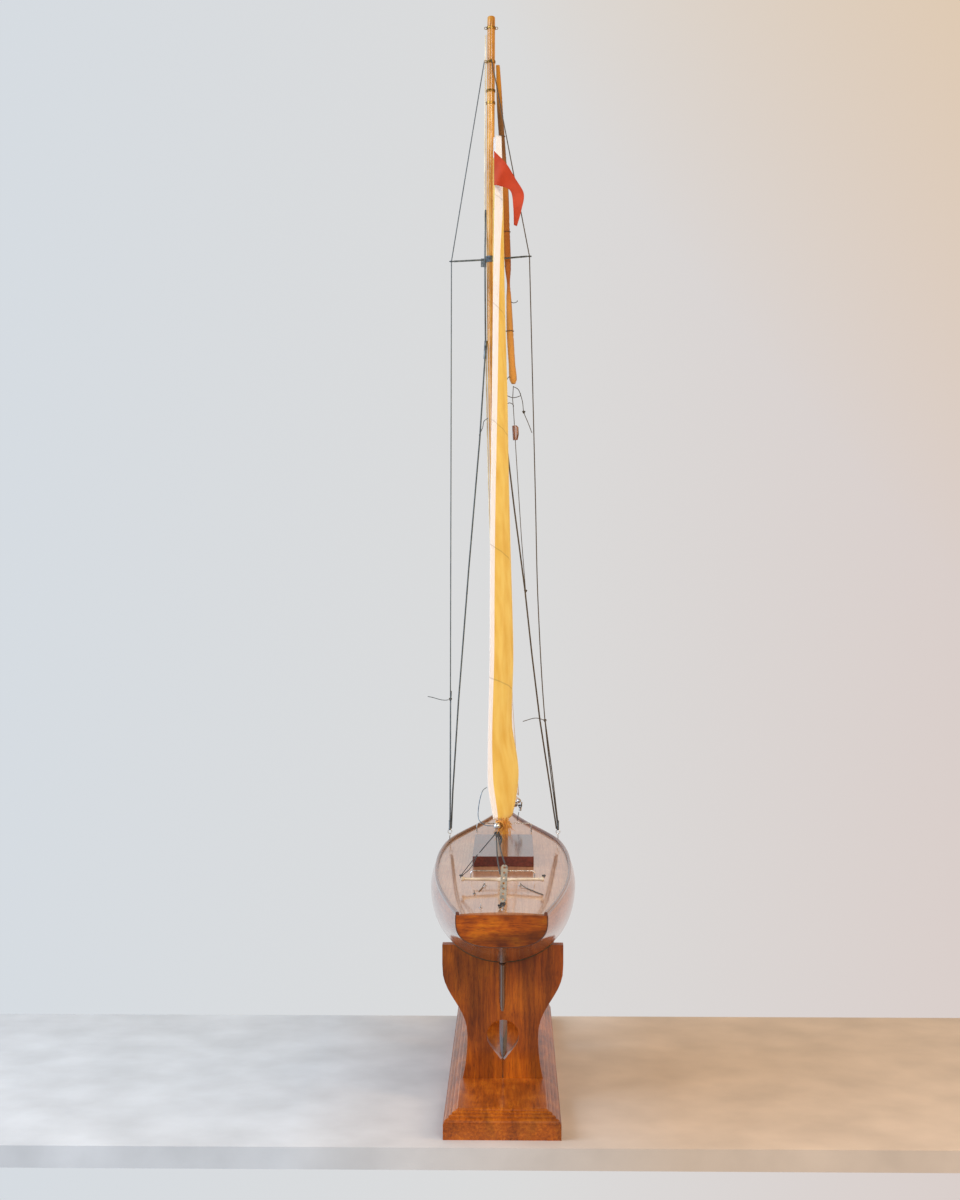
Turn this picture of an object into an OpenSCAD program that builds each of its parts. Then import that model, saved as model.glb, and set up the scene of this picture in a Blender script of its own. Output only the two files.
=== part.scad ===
// A Bermudan-rigged pond yacht on its moulded display stand. All sizes are in millimetres.
// +Z is up, +Y is towards the bow and +X is to starboard.
// The origin is the middle of the underside of the stand's base.

/* [Stand] */
// Length of the base over its plinth
base_length = 700; // [560:1:860]
// Width of the base over its plinth
base_width = 162; // [135:1:200]
// Height of the square-edged plinth
plinth_height = 22; // [14:1:32]
// Height of the moulding above the plinth
moulding_height = 16; // [8:1:24]
// How far the moulding steps in from the plinth
moulding_inset = 19.5; // [10:0.5:28]
// Distance between the outer faces of the two end boards
board_spacing = 354; // [300:1:420]
// Thickness of an end board
board_thickness = 19; // [14:1:24]
// Height of an end board above the base
board_height = 195; // [175:1:200]
// Width of an end board across its top
board_top_width = 177; // [165:1:200]
// Width of an end board across its waist
board_waist_width = 103; // [85:1:120]
// Width of an end board across its foot
board_foot_width = 117; // [95:1:122]
// Radius of the hole in an end board
board_hole_radius = 23.4; // [16:0.2:28]
// Height of the hole's middle above the base
board_hole_height = 62; // [50:1:75]
// Width of the saw cut below the hole
board_slit_width = 1.6; // [0.8:0.1:3]
// Thickness of the felt in the cradle
felt_thickness = 1.2; // [0.6:0.1:3]
// Gap that keeps the felt clear of the hull
cradle_gap = 0.4; // [0.3:0.05:1]
// Diameter of a screw that holds an end board
board_screw_diameter = 4; // [3:0.5:6]

/* [Hull] */
// Length of the hull from transom to stem
hull_length = 914; // [760:1:1100]
// Breadth of the deck at its widest
deck_beam = 208; // [170:1:250]
// How far the topsides swell beyond the deck on each side
topside_bulge = 6; // [2:0.5:9]
// Depth of the hull body below the deck amidships
body_depth = 132; // [120:1:150]
// Height of the deck edge at the transom above the base's underside
deck_height = 326; // [322:1:360]
// How much higher the deck edge is at the stem than at the transom
sheer_rise = 31; // [10:1:60]
// How far the deck's middle stands above its edge
deck_camber = 3; // [1:0.5:8]
// Depth of the transom
transom_depth = 43; // [32:1:60]
// How far the transom's foot lies forward of its head
transom_rake = 6; // [0:0.5:20]
// Thickness of the transom board
transom_thickness = 5; // [3:0.5:8]
// Thickness of the hull's wall
hull_wall = 5; // [3:0.5:8]
// Thickness of the deck
deck_thickness = 3; // [2:0.5:5]
// Height of the rail on the deck's edge
rail_height = 4.5; // [2:0.5:8]

/* [Keel and rudder] */
// Greatest thickness of the keel
keel_thickness = 12; // [9:1:24]
// Height of the keel's underside above the base
keel_clearance = 12; // [6:1:30]
// Height of the lead along the keel's foot
ballast_height = 34; // [20:1:60]
// Diameter of a keel bolt
keel_bolt_diameter = 4; // [3:0.5:6]
// Distance of the rudder's stock forward of the transom
rudder_setback = 200; // [170:1:230]
// Fore-and-aft length of the rudder blade
rudder_chord = 46; // [35:1:60]
// Thickness of the rudder blade
rudder_thickness = 11; // [8:0.5:16]
// Depth of the rudder blade
rudder_depth = 66; // [50:1:80]
// Diameter of the rudder's stock
stock_diameter = 4; // [3:0.5:6]
// Radial clearance of the stock in its tube
stock_clearance = 0.08; // [0.03:0.01:0.1]
// Outside diameter of the rudder's tube
tube_diameter = 7; // [6:0.5:10]
// Length of the steering yoke from tip to tip
yoke_length = 122; // [90:1:140]
// Height of the yoke above the deck
yoke_height = 11; // [8:0.5:16]

/* [Deck fittings] */
// Width of the hatch's lid
hatch_width = 93; // [70:1:110]
// Length of the hatch's lid
hatch_length = 205; // [150:1:220]
// Height of the hatch's lid
hatch_height = 16; // [12:0.5:24]
// Distance of the hatch's aft end forward of the transom
hatch_setback = 380; // [340:1:400]
// Thickness of the hatch's lid and coaming
hatch_wall = 3; // [2:0.5:4]
// Gap between the lid's skirt and the coaming
hatch_gap = 1.2; // [0.8:0.1:2]
// Width of a sheet horse
horse_width = 92; // [60:1:110]
// Height of a sheet horse
horse_height = 14; // [8:0.5:20]
// Diameter of a sheet horse's wire
horse_wire = 1.8; // [1:0.1:3]

/* [Rig] */
// Height of the mast above the deck
mast_height = 1363; // [1000:1:1600]
// Distance of the mast forward of the transom
mast_setback = 622; // [600:1:660]
// Diameter of the mast at the deck
mast_diameter = 14; // [10:0.5:18]
// Diameter of the mast at its head
mast_head_diameter = 13; // [8:0.5:16]
// How far the mast's head leans to port
mast_lean = 21; // [0:1:40]
// How far the mast bows to port between deck and head
mast_bow = 8; // [0:1:14]
// Diameter of the upper shrouds, lower shrouds and stays
stay_diameter = 1.5; // [1:0.1:2.5]
// Diameter of a sheet or other running line
line_diameter = 1.3; // [0.8:0.1:2]
// Distance of a spreader's tip from the mast's middle
spreader_reach = 64.5; // [50:0.5:80]
// Diameter of a spreader
spreader_diameter = 3; // [2:0.5:5]
// Distance of the main boom's end forward of the transom
boom_setback = 100; // [60:1:140]
// Height of the main boom above the deck at the transom
boom_height = 103; // [85:1:130]
// Diameter of the main boom
boom_diameter = 9; // [7:0.5:13]
// How far the main boom's end lies to port
boom_offset = 7; // [0:0.5:15]
// Thickness given to the sails
sail_thickness = 1.2; // [0.8:0.1:2]
// Height of the mainsail's head above its foot
luff_length = 1060; // [800:1:1200]
// Length of the jib boom
jib_boom_length = 196; // [150:1:220]
// Diameter of the jib boom
jib_boom_diameter = 7; // [5:0.5:10]
// How far the jib boom's aft end lies to starboard
jib_boom_offset = 25; // [0:1:30]

/* [Hidden] */
// Fits and counts
hole_gap = 0.1;
hull_spans = 40;
side_spans = 11;
// Stand
base_height = plinth_height + moulding_height;
board_top = base_height + board_height;
board_inner = board_spacing / 2 - board_thickness;
// Curves: each is a list of [share of the length from the transom, or of the mast from the deck, value]
HALF_BREADTH = [[0, .577], [.1, .732], [.23, .885], [.35, .972], [.47, 1], [.58, .976],
    [.68, .875], [.76, .672], [.84, .418], [.92, .2], [1, .026]];
SHEER = [[0, 0], [.2, .016], [.4, .1], [.6, .26], [.8, .58], [1, 1]];
BODY_LINE = [[0, 0], [.1, .243], [.2, .549], [.306, .868], [.45, 1], [.6, .94],
    [.7, .78], [.8, .5], [.9, .08], [1, -.56]];
BOW = [[0, 0], [.15, -.2], [.41, .84], [.7, .93], [1, 0]];
FULLNESS = [[0, 2.8], [.2, 2.15], [.35, 2], [.65, 1.95], [.85, 1.6], [1, 1.4]];
stern_y = -hull_length / 2;
transom_share = transom_thickness / hull_length;
hollow_end = 38 / hull_spans;
deck_mid_height = deck_height + sheer_rise * .1;
body_foot = deck_mid_height - body_depth;
// Places along the hull
mast_y = stern_y + mast_setback;
rudder_y = stern_y + rudder_setback;
hatch_y = stern_y + hatch_setback;
plate_y = mast_y - 5;
horse_y = rudder_y + 59;
jib_horse_y = mast_y + 70;
keel_foot = base_height + keel_clearance;
ballast_top = keel_foot + ballast_height;
KEEL_BOLT_Y = [-70, 30];
rudder_foot = line_bottom(share(rudder_y)) - 5 - rudder_depth;
skeg_foot = rudder_foot + rudder_depth + .6;
tube_bore = stock_diameter + 2 * stock_clearance;
// Mast and rig
mast_foot = deck_top(0, mast_y);
mast_head = mast_foot + mast_height;
spreader_z = mast_foot + .7045 * mast_height;
shroud_head_z = mast_foot + .945 * mast_height;
lower_head_z = mast_foot + .66 * mast_height;
boom_z = deck_height + boom_height;
pin_y = mast_y - mast_diameter / 2 - 5;
boom_end = [-boom_offset, stern_y + boom_setback, boom_z + 1];
boom_start = [mast_x(boom_z), pin_y - 6, boom_z + 2];
sail_foot = boom_z + 11;
sail_head = sail_foot + luff_length;
plate_x = deck_beam / 2 * smooth(HALF_BREADTH, share(plate_y)) - 2.5;
plate_z = deck_edge(share(plate_y)) + rail_height + 8;
// Jib
stay_foot = [0, stern_y + .966 * hull_length, deck_edge(.966) + 12];
stay_head = [mast_x(spreader_z - 12), mast_y + 9, spreader_z - 12];
tack = stay_foot + (stay_head - stay_foot) * .035;
jib_clew = [jib_boom_offset, tack[1] - 5 - jib_boom_length, tack[2] + 4];
jib_head = stay_foot + (stay_head - stay_foot) * .9;
// Hatch, mast heel and deck eyes
mast_station = floor(share(mast_y) * hull_spans);
mast_heel = line_bottom(share(mast_y)) + hull_wall + 11;
hatch_mid = hatch_y + hatch_length / 2;
hatch_pitch = atan2(deck_edge(share(hatch_y + hatch_length)) - deck_edge(share(hatch_y)), hatch_length);
EYES = [[1.5, stern_y + 27], [-28, stern_y + 42], [-25, rudder_y + 17], [25, rudder_y + 17], [-39,
    rudder_y - 48]];
yoke_z = deck_top(0, rudder_y) + yoke_height;
yoke_arm = [-yoke_length / 2 + 2.5, rudder_y, yoke_z + 5.2];
// Shrouds: each row is [share of the mast's height, share of the way across from the mast to the chainplate]
LOWER_PORT = [[.5946, .144], [.4853, .31], [.3298, .598], [.1691, .835], [.0583, .946]];
LOWER_STARBOARD = [[.497, .185], [.4002, .311], [.3033, .45], [.2241, .546], [.1449, .672]];
stay_side = mast_radius(shroud_head_z) + 4.6;
lower_port_top = mast_foot + .7648 * mast_height;
bottle_screw_z = up(LOWER_PORT[0][0]);
port_knot = [-plate_x + 1, plate_y, up(.1705)];
starboard_knot = [.76 * plate_x, plate_y, up(.1449)];
STARBOARD_LINE = [[plate_z + 8, plate_x], [up(.1449), .76 * plate_x], [up(.2909), .63 * plate_x],
    [up(.4105), .585 * plate_x], [spreader_z + 4, tip(1)[0]]];
// The light sail furled along the mast: [share of the mast's height, offset from the mast's middle, radius]
FURLED = [[.9431, 11.7, 1.6], [.8983, 15.1, 3.6], [.8565, 18.4, 4.6], [.7949, 24.1, 5.4], [.7399, 26.4,
    5.8],
    [.6966, 28.6, 5], [.6768, 29.4, 2.6], [.6599, 29.7, 4], [.6188, 31, 5.6], [.5792, 33.3, 5.6],
    [.5601, 34.9, 6.2], [.5543, 35.4, 3]];
furled_y = mast_y + mast_diameter / 2 + 6.2;
BOWSIE_LINE = [[mast_x(up(.522)) + 34.8, mast_y, up(.522)], [mast_x(up(.4655)) + 37.7, mast_y, up(.4655)]];
// The line's loose loop, as steps from the furled sail's foot
LOOP = [[.5, -1.5, -4.5], [9, -4.7, -11], [15, -8.7, -30], [17.3, -12.7, -48], [24.3, -15.7, -66],
    [30.8, -16.7, -83]];
loop_knot = [mast_x(up(.5543)) + 35.4, furled_y, up(.5543)] + [17.3, -13.2, -48];
// Mainsail: the leech as [share of the luff, offset from the mast's middle], the draught as [share, depth]
LEECH_X = [[0, -11.7], [.05, -19.4], [.22, -11.7], [.42, -3.1], [.62, 3.3], [.89, 8.2], [1, 9.1]];
DRAUGHT = [[0, 17], [.04, 30], [.1, 22], [.2, 25], [.3, 25], [.55, 23], [.75, 18], [.9, 15], [1, 11]];
// Pennant on the leech: the top edge and the foot edge, hoist first
PENNANT_TOP = [[0, 0, 56], [17, -3, 38], [34, 1, 12], [48, -2, -14], [44, -3, -41], [37, 0, -66]];
PENNANT_FOOT = [[0, 0, 0], [9, -5, -2], [19, -1, -4], [28, 1, -12], [31, 0, -36], [32, 1, -64]];
pennant_share = .911;
// Jib: the leech as [share of the height, offset from the straight line between clew and head]
JIB_LEECH = [[0, 0], [.11, -.6], [.21, -1.2], [.36, 3.5], [.51, 6.3], [.63, 6.5], [1, 4.2]];
// The sheet runs from the boom's end to the deck, and the steering line from the yoke to a ring on it
sheet_top = boom_end + [0, 6, -10.6];
sheet_ring = lerp(sheet_top, yoke_arm, .5) + [0, 0, 2];
adjuster_foot = [1.5, stern_y + 28, deck_top(0, stern_y + 27) + 9];
adjuster_head = [3.4, stern_y + 61, boom_z - 46];
// Free ends: the shrouds' tails as steps from their knots, and two lines lying on the deck
TAIL_PORT = [[-2.6, -1.2, -.6], [-6.7, -1.6, -1.4], [-12.7, -2, -1.2], [-18.7, -2.2, 0], [-25.7, -2.2, 2],
    [-31.7, -2, 3.6], [-37.7, -2, 4.6]];
TAIL_STARBOARD = [[-2.3, -1.2, .6], [-6.9, -2.4, 2.6], [-12.9, -3.4, 4], [-18.9, -4, 3.8], [-25.9, -4, 2],
    [-31.9, -3.4, 0], [-36.9, -3, -1.6]];
LINE_PORT = [[-25, 17, 3.6], [-27, 10, 2], [-28, 1, .85], [-29.5, -9, .75], [-31, -20, .75], [-33, -31,
    .75]];
LINE_STARBOARD = [[25, 17, 3.6], [28, 9, 2], [33, -2, .85], [38, -14, .75], [44, -27, .75], [50, -40, .75],
    [57, -53, .75]];

// ---- Curves and surfaces ----
function up(part) = mast_foot + part * mast_height;
function unit(v) = v / norm(v);
function lerp(a, b, t) = a + (b - a) * t;
function slope(t, i) = let (a = max(i - 1, 0), b = min(i + 1, len(t) - 1))
    (t[b][1] - t[a][1]) / (t[b][0] - t[a][0]);
function span_of(t, s, i = 0) = i >= len(t) - 2 || s <= t[i + 1][0] ? i : span_of(t, s, i + 1);
// A smooth curve through [place, value] pairs; a value may be a number or a point
function smooth(t, s) = let (i = span_of(t, s), h = t[i + 1][0] - t[i][0], u = (s - t[i][0]) / h)
    t[i][1] * (2 * u ^ 3 - 3 * u ^ 2 + 1) + slope(t, i) * h * (u ^ 3 - 2 * u ^ 2 + u)
    + t[i + 1][1] * (3 * u ^ 2 - 2 * u ^ 3) + slope(t, i + 1) * h * (u ^ 3 - u ^ 2);
// Points along a smooth route through given points
function route(points, per = 4) = let (n = len(points) - 1, t = [for (i = [0 : n]) [i, points[i]]])
    [for (k = [0 : n * per]) smooth(t, k / per)];
// Face lists run clockwise seen from outside when each ring turns anticlockwise seen from the first
module loft(rings) {
    n = len(rings[0]);
    last = len(rings) - 1;
    polyhedron(points = [for (r = rings) each r], faces = concat(
        [[for (j = [n - 1 : -1 : 0]) j]],
        [for (i = [0 : last - 1], j = [0 : n - 1]) [i * n + j, i * n + (j + 1) % n,
            (i + 1) * n + (j + 1) % n]],
        [for (i = [0 : last - 1], j = [0 : n - 1]) [i * n + j, (i + 1) * n + (j + 1) % n, (i + 1) * n + j]],
        [[for (j = [0 : n - 1]) last * n + j]]), convexity = 8);
}
// A round line of the given diameter along points; side is any direction across the route
module cord(points, d, side = [0, 1, 0], sides = 8) {
    last = len(points) - 1;
    loft([for (i = [0 : last])
        let (go = unit(points[min(i + 1, last)] - points[max(i - 1, 0)]),
            u = unit(cross(go, side)), v = cross(u, go))
        [for (k = [0 : sides - 1]) let (a = 360 * k / sides) points[i] + d / 2 * (cos(a) * u + sin(a) * v)]]);
}
// A thin sheet: rows of points, thickened by half each way along the given direction
module cloth(rows, thick, way) {
    h = thick / 2 * way;
    loft([for (r = rows) concat([for (p = r) p - h], [for (i = [len(r) - 1 : -1 : 0]) r[i] + h])]);
}
module ring(radius, wire) {
    rotate_extrude($fn = 24) translate([radius, 0]) circle(d = wire, $fn = 12);
}

// ---- Hull form ----
function share(y) = (y - stern_y) / hull_length;
function half_breadth(s) = deck_beam / 2 * smooth(HALF_BREADTH, s);
function deck_edge(s) = deck_height + sheer_rise * smooth(SHEER, s);
function deck_top(x, y) = let (s = share(y)) deck_edge(s) + deck_camber * (1 - (x / half_breadth(s)) ^ 2);
function line_bottom(s) = let (start = deck_height - transom_depth)
    start - (start - body_foot) * smooth(BODY_LINE, s);
function swell(s) = topside_bulge * sin(180 * min(max(s, 0), 1)) ^ .8;
function widest(s) = lerp(deck_edge(s), line_bottom(s), .16);
// One section of the hull body, from the port deck edge under the hull to the starboard one
function section(s, grow = 0, lift = 0) =
    let (half = half_breadth(s) + grow, wide = half + swell(s), top = deck_edge(s) + lift,
        zm = widest(s), foot = line_bottom(s) - grow, n = 2 / smooth(FULLNESS, s),
        rake = transom_rake * max(0, 1 - s / .12),
        side = concat(
            [for (k = [0 : 2]) [lerp(half, wide, sin(30 * k)), lerp(top, zm, k / 3)]],
            [for (k = [0 : side_spans - 1]) let (a = 90 * k / side_spans)
                [wide * cos(a) ^ n, zm - (zm - foot) * sin(a) ^ n]]),
        y = stern_y + hull_length * s)
    concat(
        [for (p = side) [-p[0], y + rake * (deck_edge(s) - p[1]) / transom_depth, p[1]]],
        [[0, y + rake * (deck_edge(s) - foot) / transom_depth, foot]],
        [for (i = [len(side) - 1 : -1 : 0])
            [side[i][0], y + rake * (deck_edge(s) - side[i][1]) / transom_depth, side[i][1]]]);
// Stations of one shared grid between two ends, so that pieces cut to the hull meet it face to face
function stations(from, to) = concat([from],
    [for (k = [-1 : hull_spans]) let (s = k / hull_spans) if (s > from + .001 && s < to - .001) s], [to]);
module hull_body(from, to, grow = 0, lift = 0) {
    loft([for (s = stations(from, to)) section(s, grow, lift)]);
}

// ---- Stand ----
// Share of the moulding's inset and of its height, from the plinth up: a bead, two ovolos and a fillet
MOULDING = [[0, 0], [.06, 0], [.06, .08], [.1, .24], [.2, .35], [.32, .38], [.38, .38], [.38, .54], [.44, .6],
    [.56, .62], [.62, .62], [.62, .76], [.7, .83], [.84, .86], [.9, .86], [.92, .94], [1, 1]];
module moulded_outline(width) {
    edge = [for (p = MOULDING) [width / 2 - p[0] * moulding_inset, plinth_height + p[1] * moulding_height]];
    last = len(edge) - 1;
    polygon(concat([[-width / 2, 0], [width / 2, 0]], edge,
        [for (i = [last : -1 : 0]) [-edge[i][0], edge[i][1]]]));
}
module at_screws() {
    for (y = [-1, 1], x = [-1, 1])
        translate([x * board_foot_width * .3, y * (board_spacing - board_thickness) / 2, 0]) children();
}
module base() {
    color("saddlebrown") difference() {
        intersection() {
            rotate([90, 0, 0]) linear_extrude(base_length, center = true) moulded_outline(base_width);
            rotate([90, 0, 90]) linear_extrude(base_width, center = true) moulded_outline(base_length);
        }
        at_screws() {
            translate([0, 0, -1])
                cylinder(h = base_height + 2, d = board_screw_diameter + 2 * hole_gap, $fn = 32);
            translate([0, 0, -1]) cylinder(h = 9, d = 2 * board_screw_diameter + 1, $fn = 32);
        }
    }
}
function board_side(w_top, w_waist, w_foot) = let (h = board_height)
    concat(
        [[w_top, h], [w_top, h * .855]],
        [for (t = [.1 : .1 : 1]) let (u = 1 - t)
            [w_top, h * .83] * u ^ 3 + [w_top, h * .62] * 3 * u ^ 2 * t
            + [w_waist, h * .54] * 3 * u * t ^ 2 + [w_waist, h * .32] * t ^ 3],
        [for (t = [.2 : .2 : 1]) let (u = 1 - t)
            [w_waist, h * .32] * u ^ 2 + [w_waist, h * .15] * 2 * u * t + [w_foot, 0] * t ^ 2]);
module board_outline() {
    side = board_side(board_top_width / 2, board_waist_width / 2, board_foot_width / 2);
    difference() {
        polygon(concat(side, [for (i = [len(side) - 1 : -1 : 0]) [-side[i][0], side[i][1]]]));
        translate([0, board_hole_height]) circle(r = board_hole_radius, $fn = 64);
        polygon([[0, board_hole_height - 1.62 * board_hole_radius],
            [board_hole_radius * cos(38), board_hole_height - board_hole_radius * sin(38)],
            [-board_hole_radius * cos(38), board_hole_height - board_hole_radius * sin(38)]]);
        translate([-board_slit_width / 2, -1]) square([board_slit_width,
            board_hole_height - board_hole_radius]);
    }
}
module board_slab(side) {
    translate([0, side * (board_spacing - board_thickness) / 2, base_height])
        rotate([90, 0, 0]) linear_extrude(board_thickness, center = true) board_outline();
}
module cradle_part(side, grow) {
    mid = share(side * (board_spacing - board_thickness) / 2);
    hull_body(mid - .03, mid + .03, grow);
}
module end_board(side) {
    color("sienna") difference() {
        board_slab(side);
        cradle_part(side, cradle_gap + felt_thickness);
        at_screws() translate([0, 0, base_height - 1])
            cylinder(h = 22, d = board_screw_diameter + 2 * hole_gap, $fn = 32);
    }
}
module end_board_aft() { end_board(-1); }
module end_board_fore() { end_board(1); }
module cradle_felts() {
    color("darkolivegreen") for (side = [-1, 1]) intersection() {
        difference() {
            cradle_part(side, cradle_gap + felt_thickness - .02);
            cradle_part(side, cradle_gap);
        }
        translate([0, side * (board_spacing - board_thickness) / 2, board_top - 40 - .1])
            cube([board_top_width - 2, board_thickness, 80], center = true);
    }
}
module board_screws() {
    color("silver") at_screws() {
        translate([0, 0, 6]) cylinder(h = base_height + 12, d = board_screw_diameter, $fn = 32);
        translate([0, 0, 4]) cylinder(h = 4, d = 2 * board_screw_diameter, $fn = 32);
    }
}

// ---- Hull ----
module hull_shell() {
    color("rosybrown") difference() {
        hull_body(transom_share, 1);
        hull_body(-1 / hull_spans, hollow_end, -hull_wall, 12);
        translate([0, rudder_y, 0]) cylinder(h = 300, d = tube_diameter + 2 * hole_gap, $fn = 32);
        at_keel_bolts() cylinder(h = 300, d = keel_bolt_diameter + 2 * hole_gap, $fn = 24);
    }
}
module transom_board() { color("sienna") loft([section(transom_share), section(0)]); }
function deck_ring(s, inset) = let (half = half_breadth(s) - inset, y = stern_y + hull_length * s,
    e = deck_edge(s))
    concat([for (k = [-4 : 4]) [half * k / 4, y, e - deck_thickness + deck_camber * (1 - (k / 4) ^ 2)]],
        [for (k = [4 : -1 : -4]) [half * k / 4, y, e + deck_camber * (1 - (k / 4) ^ 2)]]);
module deck() {
    color("peru") difference() {
        loft([for (s = stations(transom_share + .001, hollow_end)) deck_ring(s, hull_wall)]);
        translate([0, rudder_y, 300]) cylinder(h = 60, d = tube_diameter + 2 * hole_gap, $fn = 32);
        translate([0, mast_y, 300]) cylinder(h = 60, d = mast_diameter + 2 * hole_gap, $fn = 32);
        in_hatch() cube([hatch_width - 2 * (hatch_wall + hatch_gap) + 2 * hole_gap,
            hatch_length - 2 * (hatch_wall + hatch_gap) + 2 * hole_gap, 60], center = true);
    }
}
module deck_rails() {
    color("saddlebrown") for (side = [-1, 1]) loft([for (s = stations(0, 1))
        let (y = stern_y + hull_length * s, e = deck_edge(s),
            out = half_breadth(s), in = max(out - hull_wall + .4, 0),
            a = side > 0 ? in : -out, b = side > 0 ? out : -in)
        [[a, y, e], [b, y, e], [b, y, e + rail_height], [a, y, e + rail_height]]]);
}
function foil(from, to, thick) = let (n = 14)
    concat([for (k = [0 : n]) let (u = k / n) [thick / 2 * sin(180 * u ^ .75) ^ .55, lerp(to, from, u)]],
        [for (k = [n - 1 : -1 : 1]) let (u = k / n) [-thick / 2 * sin(180 * u ^ .75) ^ .55, lerp(to,
            from, u)]]);
module keel_form() {
    hull() {
        translate([0, 0, keel_foot]) linear_extrude(.1) polygon(foil(-112, 66, keel_thickness * .9));
        translate([0, 0, keel_foot + 8]) linear_extrude(.1) polygon(foil(-122, 84, keel_thickness));
        translate([0, 0, deck_mid_height - 85]) linear_extrude(.1) polygon(foil(-142, 142, keel_thickness));
    }
}
module at_keel_bolts() { for (y = KEEL_BOLT_Y) translate([0, y, 0]) children(); }
module keel_fin() {
    color("maroon") difference() {
        intersection() {
            keel_form();
            translate([0, 0, ballast_top + 250]) cube([100, 700, 500], center = true);
        }
        hull_body(8 / hull_spans, 32 / hull_spans);
        at_keel_bolts() cylinder(h = 300, d = keel_bolt_diameter + 2 * hole_gap, $fn = 24);
    }
}
module ballast_lead() {
    color("dimgray") difference() {
        intersection() {
            keel_form();
            translate([0, 0, ballast_top - 250]) cube([100, 700, 500], center = true);
        }
        at_keel_bolts() translate([0, 0, ballast_top - 20])
            cylinder(h = 60, d = keel_bolt_diameter + 2 * hole_gap, $fn = 24);
    }
}
module keel_bolts() {
    color("goldenrod") at_keel_bolts() {
        translate([0, 0, ballast_top - 19.5])
            cylinder(h = body_foot + hull_wall + 30 - ballast_top, d = keel_bolt_diameter, $fn = 24);
        translate([0, 0, body_foot + hull_wall + 3.5]) cylinder(h = 5, d = 2 * keel_bolt_diameter, $fn = 6);
    }
}
module skeg() {
    color("rosybrown") difference() {
        hull() {
            translate([0, 0, skeg_foot]) linear_extrude(.1)
                polygon([for (p = foil(-20, 34, 16)) [p[0], p[1] + rudder_y]]);
            translate([0, 0, skeg_foot + 34]) linear_extrude(.1)
                polygon([for (p = foil(-24, 46, 20)) [p[0], p[1] + rudder_y]]);
        }
        hull_body(4 / hull_spans, 14 / hull_spans);
        translate([0, rudder_y, 0]) cylinder(h = 300, d = tube_diameter + 2 * hole_gap, $fn = 32);
    }
}
module rudder_tube() {
    color("goldenrod") translate([0, rudder_y, 0]) difference() {
        translate([0, 0, skeg_foot]) cylinder(h = deck_top(0, rudder_y) + 2 - skeg_foot,
            d = tube_diameter, $fn = 48);
        cylinder(h = 400, d = tube_bore, $fn = 48);
    }
}
module mast_step() {
    color("peru") difference() {
        translate([0, mast_y, line_bottom(share(mast_y)) + hull_wall + 9]) cube([30, 40, 16],
            center = true);
        hull_ring_cut();
        translate([0, mast_y, mast_heel]) cylinder(h = 60, d = mast_diameter + 2 * hole_gap, $fn = 32);
    }
}
module hull_ring_cut() {
    difference() {
        translate([0, mast_y, 250]) cube([80, 80, 100], center = true);
        hull_body((mast_station - 3) / hull_spans, (mast_station + 3) / hull_spans, -hull_wall - .1, 12);
    }
}
module mast_collar() {
    color("goldenrod") translate([0, mast_y, mast_foot + .45]) difference() {
        cylinder(h = 4, d = mast_diameter + 8, $fn = 40);
        translate([0, 0, -1]) cylinder(h = 8, d = mast_diameter + 4 * hole_gap, $fn = 40);
    }
}

// ---- Hatch ----
module in_hatch() {
    translate([0, hatch_mid, deck_top(0, hatch_mid)]) rotate([hatch_pitch, 0, 0]) children();
}
module plan(width, length, radius) {
    offset(r = radius, $fn = 32) square([width - 2 * radius, length - 2 * radius], center = true);
}
module hatch_coaming() {
    w = hatch_width - 2 * (hatch_wall + hatch_gap);
    l = hatch_length - 2 * (hatch_wall + hatch_gap);
    color("sienna") in_hatch() translate([0, 0,
        -5]) linear_extrude(hatch_height - hatch_wall + 4.7) difference() {
        square([w, l], center = true);
        square([w - 2 * hatch_wall, l - 2 * hatch_wall], center = true);
    }
}
module hatch_lid() {
    color("maroon") in_hatch() difference() {
        translate([0, 0, .8]) linear_extrude(hatch_height - .8) plan(hatch_width, hatch_length, 3);
        translate([0, 0, -1]) linear_extrude(hatch_height - hatch_wall + 1)
            square([hatch_width - 2 * hatch_wall, hatch_length - 2 * hatch_wall], center = true);
    }
}

// ---- Deck fittings ----
module horse(y) {
    half = horse_width / 2;
    z = deck_top(half, y);
    top = deck_top(0, y) + horse_height;
    cord([[-half, y, z + .4], [-half, y, top - 4], [-half + 1.5, y, top - 1.5], [-half + 4, y, top],
        [half - 4, y, top], [half - 1.5, y, top - 1.5], [half, y, top - 4], [half, y, z + .4]],
            horse_wire, sides = 10);
    for (x = [-half, half]) translate([x, y, z + .25]) cylinder(h = 1.4, d = 6, $fn = 20);
}
module main_horse() { color("silver") horse(horse_y); }
module jib_horse() { color("silver") horse(jib_horse_y); }
module chainplates() {
    color("silver") for (side = [-1, 1]) translate([side * plate_x, plate_y, 0]) {
        translate([-.6, -4, deck_edge(share(plate_y)) + rail_height])
            cube([1.2, 8, 5]);
        translate([0, 0, deck_edge(share(plate_y)) + rail_height + 6.5]) rotate([0, 90, 0]) ring(3, 1.2);
        translate([0, 0, plate_z + 4.5]) rotate([90, 0, 0]) ring(3.2, 1.1);
    }
}
module deck_eyes() {
    color("silver") for (e = EYES) translate([e[0], e[1], deck_top(e[0], e[1])]) {
        translate([0, 0, .05]) cylinder(h = 1, d = 4.4, $fn = 20);
        translate([0, 0, 3]) rotate([0, 90, 0]) ring(2.1, 1);
    }
}
module stem_fitting() {
    color("silver") {
        translate([0, stay_foot[1], deck_edge(.966) + rail_height]) cylinder(h = 4, d = 5, $fn = 24);
        translate(stay_foot - [0, 0, 1.5]) rotate([0, 90, 0]) ring(3, 1.4);
    }
}

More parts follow.
